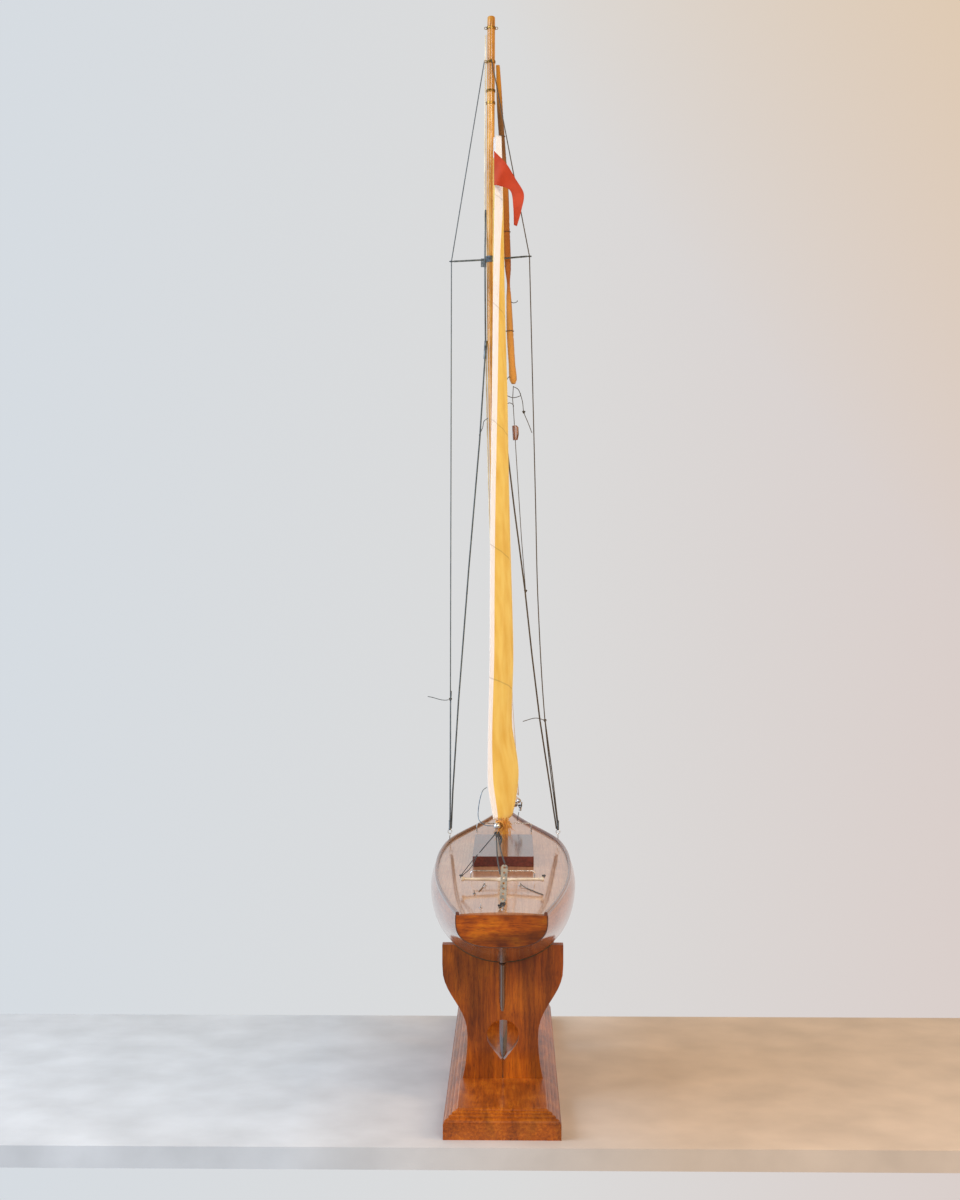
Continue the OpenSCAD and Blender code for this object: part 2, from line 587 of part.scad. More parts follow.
// ---- Mast and standing rigging ----
function mast_x(z) = let (t = max(0,
    (z - mast_foot) / mast_height)) -mast_lean * t - mast_bow * smooth(BOW, t);
function mast_radius(z) = lerp(mast_diameter, mast_head_diameter, max(0,
    (z - mast_foot) / mast_height)) / 2;
module mast() {
    color("goldenrod") loft([for (z = concat([mast_heel + .1, mast_foot],
        [for (i = [1 : 24]) mast_foot + mast_height * i / 24]))
        [for (k = [19 : -1 : 0]) [mast_x(z) + mast_radius(z) * cos(18 * k),
            mast_y + mast_radius(z) * sin(18 * k), z]]]);
}
module mast_band(z, tall, wall) {
    translate([mast_x(z), mast_y, z]) difference() {
        cylinder(h = tall, r = mast_radius(z) + wall, $fn = 32);
        translate([0, 0, -1]) cylinder(h = tall + 2, r = mast_radius(z) + .12, $fn = 32);
    }
}
module mast_bands() {
    color("goldenrod") {
        for (z = [mast_head - 22, shroud_head_z - 3, mast_head - 126, mast_head - 146]) mast_band(z, 4, 1);
        translate([mast_x(shroud_head_z) - mast_radius(shroud_head_z) - 2.6, mast_y, shroud_head_z])
            rotate([90, 0, 0]) ring(2, 1);
        translate([mast_x(shroud_head_z) + 1, mast_y - mast_radius(shroud_head_z) - 2.6, shroud_head_z])
            rotate([0, 90, 0]) ring(2, 1);
        for (side = [-1, 1]) {
            translate([mast_x(mast_head - 20) + side * (mast_radius(mast_head) + 2.6), mast_y,
                mast_head - 20])
                rotate([90, 0, 0]) ring(2, 1);
        }
    }
}
function tip(side) = [mast_x(spreader_z) + side * spreader_reach, plate_y, spreader_z + side * 4];
module spreaders() {
    color("gray") {
        mast_band(spreader_z - 5, 10, 1.2);
        for (side = [-1, 1]) {
            root = [mast_x(spreader_z) + side * (mast_radius(spreader_z) + .8), mast_y,
                spreader_z + side * .5];
            cord([root, tip(side) - [side * 3.6, 0, 0]], spreader_diameter, sides = 12);
            translate(tip(side)) ring(3, 1.6);
            translate(root + [side * 4, 0, side < 0 ? -5 : 0]) cube([9, 2.4, side < 0 ? 14 : 6],
                center = true);
        }
    }
}
module upper_shroud_port() {
    color("slategray") cord([[mast_x(shroud_head_z) - stay_side, mast_y, shroud_head_z],
        tip(-1), port_knot + [0, 0, 15], [-plate_x, plate_y, plate_z + 8]], stay_diameter);
}
module upper_shroud_starboard() {
    color("dimgray") cord(concat([[mast_x(shroud_head_z) + 1, mast_y - stay_side, shroud_head_z]],
        [for (i = [0 : 8]) let (z = lerp(spreader_z + 4, plate_z + 8, i / 8)) [smooth(STARBOARD_LINE,
            z), plate_y, z]]),
        stay_diameter);
}
function across(part, side) = lerp(mast_x(up(part[0])), side * plate_x, part[1]);
module lower_shroud_port() {
    color("slategray") cord(concat(
        [[mast_x(lower_port_top) - mast_radius(lower_port_top) - 1.4, mast_y - 1, lower_port_top],
            [mast_x(spreader_z) - mast_radius(spreader_z) - 2.4, mast_y - 9, spreader_z]],
        [for (p = LOWER_PORT) [across(p, -1), mast_y - (p[1] < .2 ? 1 : 3), up(p[0])]],
        [[-plate_x + 2.4, plate_y, plate_z + 9]]), stay_diameter);
}
module lower_shroud_starboard() {
    color("dimgray") cord(concat([[mast_x(lower_head_z) + mast_radius(lower_head_z) + .9, mast_y - 1,
        lower_head_z]],
        [for (p = LOWER_STARBOARD) [across(p, 1), mast_y - 3, up(p[0])]],
        [[plate_x - 2.4, plate_y, plate_z + 9]]), stay_diameter);
}
module shroud_fittings() {
    color("gray") {
        translate([across(LOWER_PORT[0], -1), mast_y - 1, bottle_screw_z]) rotate([0, 3, 0])
            cylinder(h = 30, d = 5, center = true, $fn = 20);
        for (side = [-1, 1]) translate([side * plate_x, plate_y, plate_z + 9]) {
            cylinder(h = 14, d = 3.4, $fn = 16);
            sphere(d = 4.2, $fn = 16);
        }
    }
}
module forestay() {
    color("dimgray") cord([stay_foot + [0, 7, 0], [mast_x(mast_head - 20),
        mast_y + mast_radius(mast_head) + 1.6, mast_head - 20]],
        stay_diameter, [1, 0, 0]);
}
module jib_stay() { color("dimgray") cord([stay_foot + [0, -1, 0], stay_head], stay_diameter, [1, 0, 0]); }
module halyard() {
    x = -mast_diameter / 2 - 2.2;
    color("wheat") cord([for (i = [0 : 12]) let (z = lerp(mast_head - 30, mast_foot + 16, i / 12))
        [mast_x(z) + x, mast_y + 2.6, z]], line_diameter);
}
module furled_sail() {
    color("peru") loft([for (f = FURLED) let (z = up(f[0]), x = mast_x(z) + f[1])
        [for (k = [15 : -1 : 0]) [x + f[2] * cos(22.5 * k), furled_y + f[2] * sin(22.5 * k), z]]]);
}
module gaskets() {
    color("saddlebrown") for (i = [2, 3, 4, 8]) let (f = FURLED[i])
        translate([mast_x(up(f[0])) + f[1], furled_y, up(f[0])])
            rotate_extrude($fn = 24) translate([f[2] + .9, 0]) circle(d = 1.2, $fn = 8);
}
module furled_sail_line() {
    f = FURLED[len(FURLED) - 1];
    foot = [mast_x(up(f[0])) + f[1], furled_y, up(f[0])];
    color("dimgray") cord([foot - [0, 0, 3], lerp(foot, BOWSIE_LINE[0], .6) + [-1.3, 0, 0], BOWSIE_LINE[0],
        BOWSIE_LINE[1], [across([.3664, .41], 1) + .3, mast_y, up(.3664)],
        [across(LOWER_STARBOARD[2], 1) + 1, mast_y, up(LOWER_STARBOARD[2][0])]], line_diameter);
    color("dimgray") cord(route([for (p = LOOP) foot + p], 3), line_diameter);
}
module rigging_knots() {
    low = LOWER_STARBOARD[2];
    color("dimgray") for (p = [port_knot, starboard_knot, loop_knot, [across(low, 1) + 1.2,
        mast_y - 1.4, up(low[0]) - 2]])
        translate(p) sphere(d = 4, $fn = 16);
}
module bowsie() {
    go = BOWSIE_LINE[0] - BOWSIE_LINE[1];
    color("sienna") translate(lerp(BOWSIE_LINE[1], BOWSIE_LINE[0], .5)) rotate([0, atan2(go[0], go[2]),
        0]) difference() {
        hull() {
            cylinder(h = 24, d = 8, center = true, $fn = 32);
            translate([3, 0, 3]) cylinder(h = 12, d = 7, center = true, $fn = 32);
        }
        cylinder(h = 60, d = line_diameter + .9, center = true, $fn = 24);
    }
}

// ---- Rudder ----
module rudder_blade() {
    color("saddlebrown") difference() {
        hull() {
            translate([0, 0, rudder_foot + rudder_depth]) linear_extrude(.1)
                polygon([for (p = foil(-rudder_chord * .7, rudder_chord * .3, rudder_thickness)) [p[0],
                    p[1] + rudder_y]]);
            translate([0, 0, rudder_foot + 10]) linear_extrude(.1)
                polygon([for (p = foil(-rudder_chord * .68, rudder_chord * .12,
                    rudder_thickness * .8)) [p[0], p[1] + rudder_y]]);
            translate([0, 0, rudder_foot]) linear_extrude(.1)
                polygon([for (p = foil(-rudder_chord * .5, 0, rudder_thickness * .55)) [p[0],
                    p[1] + rudder_y]]);
        }
        translate([0, rudder_y, rudder_foot + 20]) cylinder(h = 200, d = stock_diameter + 2 * hole_gap,
            $fn = 32);
    }
}
module rudder_stock() {
    color("goldenrod") translate([0, rudder_y, rudder_foot + 20.1])
        cylinder(h = yoke_z + 4 - rudder_foot - 20.1, d = stock_diameter, $fn = 48);
}
module steering_yoke() {
    half = yoke_length / 2;
    color("wheat") translate([0, rudder_y, yoke_z]) difference() {
        union() {
            cylinder(h = 6, d = 10, center = true, $fn = 32);
            for (side = [-1, 1]) {
                rotate([0, side * -1.2, 0]) translate([side * half / 2, 0, 0]) cube([half - 6, 5, 2.4],
                    center = true);
                translate([side * (half - 2.5), 0, 1.2]) cylinder(h = 6, d = 5, center = true, $fn = 24);
            }
        }
        cylinder(h = 30, d = stock_diameter + 2 * hole_gap, center = true, $fn = 32);
    }
}

// ---- Main boom and mainsail ----
module gooseneck_band() {
    color("goldenrod") {
        mast_band(boom_z - 3, 10, 1);
        translate([mast_x(boom_z), pin_y + 3, boom_z - 2]) cube([3, 4.5, 2], center = true);
        translate([mast_x(boom_z), pin_y, boom_z - 3]) cylinder(h = 2, d = 5, $fn = 24);
        translate([mast_x(boom_z), pin_y, boom_z - 3]) cylinder(h = 12, d = 2, $fn = 24);
    }
}
module main_boom() {
    color("goldenrod") loft([for (i = [0 : 10]) let (p = lerp(boom_start, boom_end, i / 10),
            r = boom_diameter / 2 * (1 - .35 * abs(i / 10 - .4) ^ 1.5))
        [for (k = [19 : -1 : 0]) p + [r * cos(18 * k), 0, r * sin(18 * k)]]]);
}
module boom_fittings() {
    color("silver") {
        translate([mast_x(boom_z), pin_y, boom_z - .6]) difference() {
            union() {
                cylinder(h = 5.2, d = 6, $fn = 32);
                translate([0, -4.2, 2.6]) cube([4, 3.4, 5], center = true);
            }
            translate([0, 0, -1]) cylinder(h = 8, d = 2.16, $fn = 32);
        }
        translate(boom_end - [0, 2.6, 0]) sphere(d = 9, $fn = 24);
        translate(boom_end + [0, 6, -7]) rotate([0, 90, 0]) ring(1.9, 1);
        translate(boom_end + [0, 16, 5.6]) rotate([0, 90, 0]) ring(1.9, 1);
    }
}
module clew_wire() {
    color("slategray") cord(route([sail_point(1, .04) + [-1.6, -1, 0], boom_end + [-20, 3, 46],
        boom_end + [-24.5, 1, 28], boom_end + [-25, 0, 10], boom_end + [-17, -2, 1.5],
        boom_end + [-4.2, -2.6, 0]], 3), 1, [0, 1, 0]);
}
module boom_lashing() {
    color("orange") translate(boom_end + [4, 10, 0]) hull() {
        translate([-3, 8, -.5]) scale([1, 1.2, .9]) sphere(d = 14, $fn = 20);
        translate([3, 0, -1.5]) scale([1.1, 1, .9]) sphere(d = 12, $fn = 20);
    }
}
function sail_point(u, v) =
    let (z = lerp(sail_foot, sail_head, v), luff = [mast_x(z) + 5 * v, pin_y, z],
        aft = lerp(boom_end[1] + 14, pin_y - 13, v) - 20 * sin(180 * v),
        leech = [mast_x(z) + smooth(LEECH_X, v), aft, z - 3 * (1 - v)])
    lerp(luff, leech, u) + [smooth(DRAUGHT, v) * sin(180 * u ^ .85), 0, 0];
module mainsail() {
    color("navajowhite") cloth([for (i = [0 : 26]) [for (k = [10 : -1 : 0]) sail_point(k / 10, i / 26)]],
        sail_thickness, [-1, 0, 0]);
}
module pennant() {
    hoist = sail_point(1, pennant_share) + [-1.6, -3.4, 0];
    top = route(PENNANT_TOP, 3);
    foot = route(PENNANT_FOOT, 3);
    color("tomato") cloth([for (i = [0 : len(top) - 1]) [for (v = [0 : .25 : 1])
        hoist + lerp(top[i], foot[i], v) + [0, norm(top[i] - foot[i]) / 16 * sin(200 * v + 60 * i), 0]]],
        1, [0, 1, 0]);
}
module main_sheet() {
    eye = [1.5, stern_y + 27, deck_top(0, stern_y + 27) + 5.6];
    color("slategray") {
        cord(route([sheet_top + [-1, 0, -1], [-6, stern_y + 62, boom_z - 37], [-2, stern_y + 46,
            boom_z - 57]], 2),
            line_diameter, [1, 0, 0]);
        cord(route([sheet_top + [1, 0, -1], [-1, stern_y + 74, boom_z - 31], [4, stern_y + 58,
            boom_z - 44]], 2),
            line_diameter, [1, 0, 0]);
        cord([sheet_top + [-2, 2, -1.2], sheet_ring + [1, -1, 1.4]], line_diameter, [0, 0, 1]);
        cord(route([sheet_top + [2.6, 2, -1.2], sheet_top + [6, 1, -8], sheet_top + [4, 0, -17]], 3),
            3.4, [1, 0, 0]);
        translate(eye) rotate([0, 90, 0]) ring(2, 1);
        translate(sheet_ring) rotate([90, 0, 0]) ring(1.9, 1);
    }
}
module steering_line() {
    color("slategray") for (k = [-1, 1])
        cord([sheet_ring + [-1.6, 1, -1.6 - k * .2], lerp(sheet_ring, yoke_arm, .5) + [k * 1.4, 0,
            -2 - 1.6 * k],
            yoke_arm + [k, k, .1]],
            line_diameter, [0, 0, 1]);
}
module sheet_adjuster() {
    go = adjuster_head - adjuster_foot;
    long = norm(go);
    color("silver") translate(adjuster_foot) rotate([atan2(go[2], go[1]) - 90, 0, 0]) difference() {
        hull() {
            translate([0, 0, 4.5]) rotate([90, 0, 0]) cylinder(h = 1.2, d = 9, center = true, $fn = 32);
            translate([2, 0, long - 4.5]) rotate([90, 0, 0]) cylinder(h = 1.2, d = 9, center = true,
                $fn = 32);
        }
        for (i = [0 : 6]) translate([2 * i / 6, 0, 4.5 + (long - 9) * i / 6]) rotate([90, 0, 0])
            cylinder(h = 5, d = 3.4, center = true, $fn = 24);
    }
}

// ---- Jib ----
module jib_boom() {
    color("goldenrod") cord([tack + [0, -5, 2], jib_clew + [0, 0, -4]], jib_boom_diameter, [0, 0, 1], 18);
}
module jib_boom_fittings() {
    color("silver") {
        translate(jib_clew + [0, -2.6, -4]) sphere(d = 7.4, $fn = 24);
        translate(jib_clew + [0, 7, -10]) rotate([0, 90, 0]) ring(2, 1.1);
        translate(jib_clew + [-6, 16, -12]) sphere(d = 9, $fn = 20);
        translate(jib_clew + [3, 14, -15]) rotate([0, 8, 0]) cylinder(h = 15, d = 4.4, center = true,
            $fn = 16);
    }
}
function jib_point(u, v) =
    let (luff = lerp(tack, jib_head, v) + [0, -3.6 - 1.7 * (1 - v), 6 * (1 - v)],
        leech = lerp(jib_clew + [0, 6, 4], jib_head - [0, 9, 0], v) + [smooth(JIB_LEECH, v), 0, 0])
    lerp(luff, leech, u) + [5 * sin(180 * v ^ .8) * sin(180 * u), 0, 0];
module jib() {
    color("linen") cloth([for (i = [0 : 16]) [for (k = [8 : -1 : 0]) jib_point(k / 8, i / 16)]],
        sail_thickness, [-1, 0, 0]);
}
module jib_sheet() {
    y = jib_horse_y;
    color("slategray") {
        cord([jib_clew + [0, 7, -23.8], [jib_boom_offset - 3, y - 1, deck_top(0,
            y) + horse_height + 4]], line_diameter, [1, 0, 0]);
        translate([jib_boom_offset - 3, y, deck_top(0, y) + horse_height]) rotate([0, 90, 0]) ring(2.4, 1);
    }
}

// ---- Free line ends ----
module line_end(steps, from, side = [0, 0, 1]) { cord(route([for (p = steps) from + p], 2),
    line_diameter, side); }
module lying(steps) {
    cord(route([for (p = steps) let (y = rudder_y + p[1]) [p[0], y, deck_top(p[0], y) + p[2]]], 2),
        line_diameter, [0, 0, 1]);
}
module shroud_tail_port() { color("slategray") line_end(TAIL_PORT, port_knot); }
module shroud_tail_starboard() { color("dimgray") line_end(TAIL_STARBOARD, starboard_knot); }
module deck_line_port() { color("dimgray") lying(LINE_PORT); }
module deck_line_starboard() { color("dimgray") lying(LINE_STARBOARD); }

base();
end_board_aft();
end_board_fore();
cradle_felts();
board_screws();
hull_shell();
transom_board();
deck();
deck_rails();
keel_fin();
ballast_lead();
keel_bolts();
skeg();
rudder_tube();
mast_step();
mast_collar();
hatch_coaming();
main_horse();
jib_horse();
chainplates();
deck_eyes();
stem_fitting();
mast();
mast_bands();
spreaders();
upper_shroud_port();
upper_shroud_starboard();
lower_shroud_port();
lower_shroud_starboard();
shroud_fittings();
forestay();
jib_stay();
halyard();
furled_sail();
gaskets();
furled_sail_line();
rigging_knots();
gooseneck_band();
main_sheet();
steering_line();
sheet_adjuster();
jib_sheet();
shroud_tail_port();
shroud_tail_starboard();
deck_line_port();
deck_line_starboard();
bowsie();
rudder_blade();
rudder_stock();
steering_yoke();
main_boom();
boom_fittings();
boom_lashing();
clew_wire();
mainsail();
pennant();
jib_boom();
jib_boom_fittings();
jib();
hatch_lid();
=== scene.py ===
"""A Bermudan-rigged pond yacht on its moulded stand. Metres, +Z up, +Y to the bow, +X to starboard."""
import math
import bpy
import numpy as np
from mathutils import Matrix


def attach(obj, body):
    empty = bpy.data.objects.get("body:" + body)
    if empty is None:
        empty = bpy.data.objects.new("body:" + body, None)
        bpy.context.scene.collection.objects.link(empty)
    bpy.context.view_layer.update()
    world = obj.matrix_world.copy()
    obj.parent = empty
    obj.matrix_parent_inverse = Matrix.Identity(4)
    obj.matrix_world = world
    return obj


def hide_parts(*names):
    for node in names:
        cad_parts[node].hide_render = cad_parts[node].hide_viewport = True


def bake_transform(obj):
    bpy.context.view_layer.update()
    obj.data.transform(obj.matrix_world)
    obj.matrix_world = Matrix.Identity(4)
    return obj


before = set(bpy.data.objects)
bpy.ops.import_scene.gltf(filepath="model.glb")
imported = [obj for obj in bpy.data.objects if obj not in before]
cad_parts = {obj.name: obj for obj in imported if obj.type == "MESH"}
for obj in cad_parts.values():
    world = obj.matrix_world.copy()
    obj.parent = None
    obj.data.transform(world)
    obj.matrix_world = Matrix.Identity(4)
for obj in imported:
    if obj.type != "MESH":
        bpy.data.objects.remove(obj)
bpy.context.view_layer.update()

# ---- Camera ----
# It stands level behind the yacht at a little below half its height, a little to starboard of its middle line
# and turned one degree to port.
camera = bpy.data.objects.new("camera", bpy.data.cameras.new("camera"))
camera.data.lens = 52.95
camera.location = (.014, -2.757, .737)
camera.rotation_euler = (math.radians(90), 0, math.radians(1.05))
bpy.context.scene.collection.objects.link(camera)
bpy.context.scene.camera = camera

# ---- Free line ends ----
# Waxed three-strand cord: the stiff tails of the two shroud knots, and two loose ends that lie on the deck.
# Each is cut from the same cord as the rigging, 1.3 mm thick.
MM = .001
STERN, LENGTH = -457, 914
HALF_BREADTH = [[0, .577], [.1, .732], [.23, .885], [.35, .972], [.47, 1], [.58, .976],
                [.68, .875], [.76, .672], [.84, .418], [.92, .2], [1, .026]]
SHEER = [[0, 0], [.2, .016], [.4, .1], [.6, .26], [.8, .58], [1, 1]]
BOW_OF_MAST = [[0, 0], [.15, -.2], [.41, .84], [.7, .93], [1, 0]]
MAST_FOOT, MAST_HEIGHT, MAST_Y = 340.55, 1363, 165
LINE = 1.3
RUDDER_Y = -257
HALF_BEAM, DECK_Z, SHEER_RISE, CAMBER = 104, 326, 31, 3
MAST_LEAN, MAST_BOW = 21, 8


def smooth(table, at):
    """Cubic Hermite through [place, value...] rows, each slope being that between a row's neighbours."""
    rows = np.array(table, float)
    place, value = rows[:, 0], rows[:, 1:]
    low = np.maximum(np.arange(len(rows)) - 1, 0)
    high = np.minimum(np.arange(len(rows)) + 1, len(rows) - 1)
    slope = (value[high] - value[low]) / (place[high] - place[low])[:, None]
    at = np.asarray(at, float)
    i = np.clip(np.searchsorted(place, at, side="left") - 1, 0, len(rows) - 2)
    h = (place[i + 1] - place[i])[..., None]
    u = (at - place[i])[..., None] / h
    out = (value[i] * (2 * u**3 - 3 * u**2 + 1) + slope[i] * h * (u**3 - 2 * u**2 + u)
           + value[i + 1] * (3 * u**2 - 2 * u**3) + slope[i + 1] * h * (u**3 - u**2))
    return out[..., 0] if out.shape[-1] == 1 else out


def route(points, per=12):
    """A smooth line through points, with per steps from each to the next."""
    points = np.array(points, float)
    table = np.column_stack([np.arange(len(points)), points])
    return smooth(table, np.arange((len(points) - 1) * per + 1) / per)


def lerp(a, b, t):
    """The point a share t of the way from a to b."""
    return np.asarray(a, float) + (np.asarray(b, float) - np.asarray(a, float)) * t


def share(y):
    """How far y is along the hull, from 0 at the transom to 1 at the stem."""
    return (np.asarray(y, float) - STERN) / LENGTH


def half_breadth(s):
    return HALF_BEAM * smooth(HALF_BREADTH, s)


def deck_edge(s):
    return DECK_Z + SHEER_RISE * smooth(SHEER, s)


def deck_top(x, y):
    """The deck stands 3 mm higher in the middle than at its edge, along a parabola."""
    s = share(y)
    return deck_edge(s) + CAMBER * (1 - (np.asarray(x, float) / half_breadth(s)) ** 2)


def mast_x(z):
    """The mast leans 21 mm to port at its head and bows 8 mm to port on the way."""
    t = np.maximum(0, (np.asarray(z, float) - MAST_FOOT) / MAST_HEIGHT)
    return -MAST_LEAN * t - MAST_BOW * smooth(BOW_OF_MAST, t)


def up(part):
    """The height at a share of the mast's height above the deck."""
    return MAST_FOOT + part * MAST_HEIGHT


def piece(name, points, faces, uv=None, sharp=40):
    """A mesh piece from points in millimetres, with an optional UV pair for each point.
    Edges that turn by more than sharp degrees are hard."""
    mesh = bpy.data.meshes.new(name)
    places = (np.asarray(points).reshape(-1, 3) * MM).tolist()
    mesh.from_pydata(places, [], [list(map(int, f)) for f in faces])
    if uv is not None:
        corner = np.zeros(len(mesh.loops), np.int32)
        mesh.loops.foreach_get("vertex_index", corner)
        layer = mesh.uv_layers.new(name="UVMap")
        layer.data.foreach_set("uv", np.asarray(uv, np.float32).reshape(-1, 2)[corner].ravel())
    mesh.polygons.foreach_set("use_smooth", np.ones(len(mesh.polygons), bool))
    mesh.set_sharp_from_angle(angle=math.radians(sharp))
    thing = bpy.data.objects.new(name, mesh)
    bpy.context.scene.collection.objects.link(thing)
    return thing


def far_along(path):
    """How far each point of a path is from its start, along it."""
    return np.concatenate([[0], np.cumsum(np.linalg.norm(np.diff(path, axis=0), axis=1))])


def grid_faces(rows, columns):
    """The quads between the points of an open grid."""
    index = np.arange(rows * columns).reshape(rows, columns)
    return np.stack([index[:-1, :-1], index[:-1, 1:], index[1:, 1:], index[1:, :-1]], -1).reshape(-1, 4)


def ring_faces(rings, sides, capped=True):
    """The quads between closed rings of points, with a face over each end where it is capped."""
    index = np.arange(rings * sides).reshape(rings, sides)
    after = np.roll(index, -1, axis=1)
    quads = np.stack([index[:-1], index[1:], after[1:], after[:-1]], -1).reshape(-1, 4).tolist()
    return quads + [index[0].tolist(), index[-1][::-1].tolist()] if capped else quads


def tube(name, path, radius, sides=24, side=(0, 1, 0), sharp=50):
    """A closed tube along path. Its rings stand square to the path, and radius is one number, one for each
    ring, or one for each ring and side. UV runs round in metres and along in metres."""
    path = np.asarray(path, float)
    rings = len(path)
    go = np.gradient(path, axis=0)
    go /= np.linalg.norm(go, axis=1, keepdims=True)
    across = np.cross(go, np.asarray(side, float))
    across /= np.linalg.norm(across, axis=1, keepdims=True)
    out = np.cross(across, go)
    turn = np.arange(sides) / sides * 2 * math.pi
    radius = np.asarray(radius, float)
    if radius.ndim < 2:
        radius = np.broadcast_to(np.broadcast_to(radius, (rings,))[:, None], (rings, sides))
    spoke = np.cos(turn)[None, :, None] * across[:, None] + np.sin(turn)[None, :, None] * out[:, None]
    points = path[:, None] + radius[..., None] * spoke
    far = far_along(path) * MM
    uv = np.stack(np.broadcast_arrays(turn[None] * radius.max() * MM, far[:, None]), -1)
    return piece(name, points, ring_faces(rings, sides), uv, sharp)


def stretched(points, step):
    """The same line with points about step apart, for a line whose turns are gentle."""
    points = np.asarray(points, float)
    far = far_along(points)
    at = np.linspace(0, far[-1], max(int(far[-1] / step), 4) + 1)
    return np.stack([np.interp(at, far, points[:, k]) for k in range(3)], 1)


def rope(name, path, diameter, side=(0, 1, 0), pitch=5.0, step=.9):
    """Three-strand cord: a ring every step, whose radius dips between strands that turn once a pitch."""
    path = stretched(path, step)
    far = far_along(path)
    turn = np.arange(12) / 12 * 2 * math.pi
    strand = np.abs(np.cos(1.5 * (turn[None] + 2 * math.pi * far[:, None] / pitch)))
    end = np.minimum(1, (np.minimum(far, far[-1] - far) / diameter * 2 + .35))
    return tube(name, path, diameter / 2 * (.78 + .22 * strand) * end[:, None], 12, side, sharp=80)


def linear(code):
    """A colour written as sRGB hex, as the linear values that a shader takes."""
    part = [int(code[i:i + 2], 16) / 255 for i in (1, 3, 5)]
    return [v / 12.92 if v <= .04045 else ((v + .055) / 1.055) ** 2.4 for v in part] + [1]


def material(name, **shader_values):
    """A material of that name, with its Principled shader's own sockets set."""
    made = bpy.data.materials.new(name)
    made.use_nodes = True
    shader = made.node_tree.nodes["Principled BSDF"]
    for socket, value in shader_values.items():
        shader.inputs[socket.replace("_", " ")].default_value = value
    return made


def add(made, kind, inputs=(), stops=None, **settings):
    """Adds a node to a material, with its settings, and sets or links each of its inputs."""
    node = made.node_tree.nodes.new("ShaderNode" + kind)
    for setting, value in settings.items():
        setattr(node, setting, value)
    for socket, value in dict(inputs).items():
        if isinstance(value, bpy.types.NodeSocket):
            made.node_tree.links.new(value, node.inputs[socket])
        else:
            node.inputs[socket].default_value = value
    if stops:
        while len(node.color_ramp.elements) < len(stops):
            node.color_ramp.elements.new(.5)
        for element, (place, colour) in zip(node.color_ramp.elements, stops):
            element.position, element.color = place, colour
    return node


def joined(made, **links):
    """Links sockets to the material's Principled shader."""
    shader = made.node_tree.nodes["Principled BSDF"]
    for socket, source in links.items():
        made.node_tree.links.new(source, shader.inputs[socket.replace("_", " ")])
    return made


def cord_finish(name, dark, light, spacing=.0006):
    """Waxed cotton cord: mottled along its length, darker between its fibres, with a soft wax sheen."""
    made = material(name, Roughness=.62, Sheen_Weight=.25, Sheen_Roughness=.5)
    place = add(made, "TexCoord").outputs["Object"]
    wear = add(made, "TexNoise", {"Vector": place, "Scale": 1 / .02, "Detail": 4})
    fibre = add(made, "TexNoise", {"Vector": place, "Scale": 1 / spacing, "Detail": 3})
    mixed = add(made, "Math", {0: wear.outputs["Fac"], 1: fibre.outputs["Fac"]}, operation="MULTIPLY")
    tone = add(made, "ValToRGB", {"Fac": mixed.outputs[0]}, [(.12, linear(dark)), (.42, linear(light))])
    bump = add(made, "Bump", {"Height": fibre.outputs["Fac"], "Strength": .5, "Distance": .0002})
    return joined(made, Base_Color=tone.outputs["Color"], Normal=bump.outputs["Normal"])


def placed(thing, body, finish=None, nodes=()):
    """Dresses a piece, and says which body carries it and which CAD nodes it stands for."""
    if finish:
        thing.data.materials.clear()
        thing.data.materials.append(finish)
    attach(thing, body)
    if nodes:
        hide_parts(*nodes)
    return thing


grey_cord = cord_finish("waxed_grey_cord", "#343C42", "#6E7A82")
olive_cord = cord_finish("waxed_olive_cord", "#2A251E", "#5E5444")
plate_x, plate_y = 89.345, 160
port_knot = np.array([-plate_x + 1, plate_y, up(.1705)])
starboard_knot = np.array([.76 * plate_x, plate_y, up(.1449)])
TAIL_PORT = [[-2.6, -1.2, -.6], [-6.7, -1.6, -1.4], [-12.7, -2, -1.2], [-18.7, -2.2, 0], [-25.7, -2.2, 2],
             [-31.7, -2, 3.6], [-37.7, -2, 4.6]]
TAIL_STARBOARD = [[-2.3, -1.2, .6], [-6.9, -2.4, 2.6], [-12.9, -3.4, 4], [-18.9, -4, 3.8], [-25.9, -4, 2],
                  [-31.9, -3.4, 0], [-36.9, -3, -1.6]]
LINE_PORT = [[-25, 17, 3.6], [-27, 10, 2], [-28, 1, .85], [-29.5, -9, .75], [-31, -20, .75],
             [-33, -31, .75]]
LINE_STARBOARD = [[25, 17, 3.6], [28, 9, 2], [33, -2, .85], [38, -14, .75], [44, -27, .75], [50, -40, .75],
                  [57, -53, .75]]


def lying(steps):
    """Steps from the rudder's stock, with heights above the deck, as points."""
    steps = np.array(steps, float)
    y = RUDDER_Y + steps[:, 1]
    return np.stack([steps[:, 0], y, deck_top(steps[:, 0], y) + steps[:, 2]], 1)


for name, points, cord_colour, slot in (
        ("shroud_tail_port", port_knot + TAIL_PORT, grey_cord, "port_line"),
        ("shroud_tail_starboard", starboard_knot + TAIL_STARBOARD, olive_cord, "starboard_line"),
        ("deck_line_port", lying(LINE_PORT), olive_cord, "starboard_line"),
        ("deck_line_starboard", lying(LINE_STARBOARD), olive_cord, "starboard_line")):
    path = stretched(route(points), .9)
    tail = placed(rope(name + "_cord", path, LINE, (0, 0, 1)), "yacht", cord_colour, [name])

# ---- Stand ----
# French-polished mahogany: a base with a square plinth and a moulding, and two end boards shaped to the hull.
# The boards stand on the base and are screwed from beneath; felt lines the cradle.


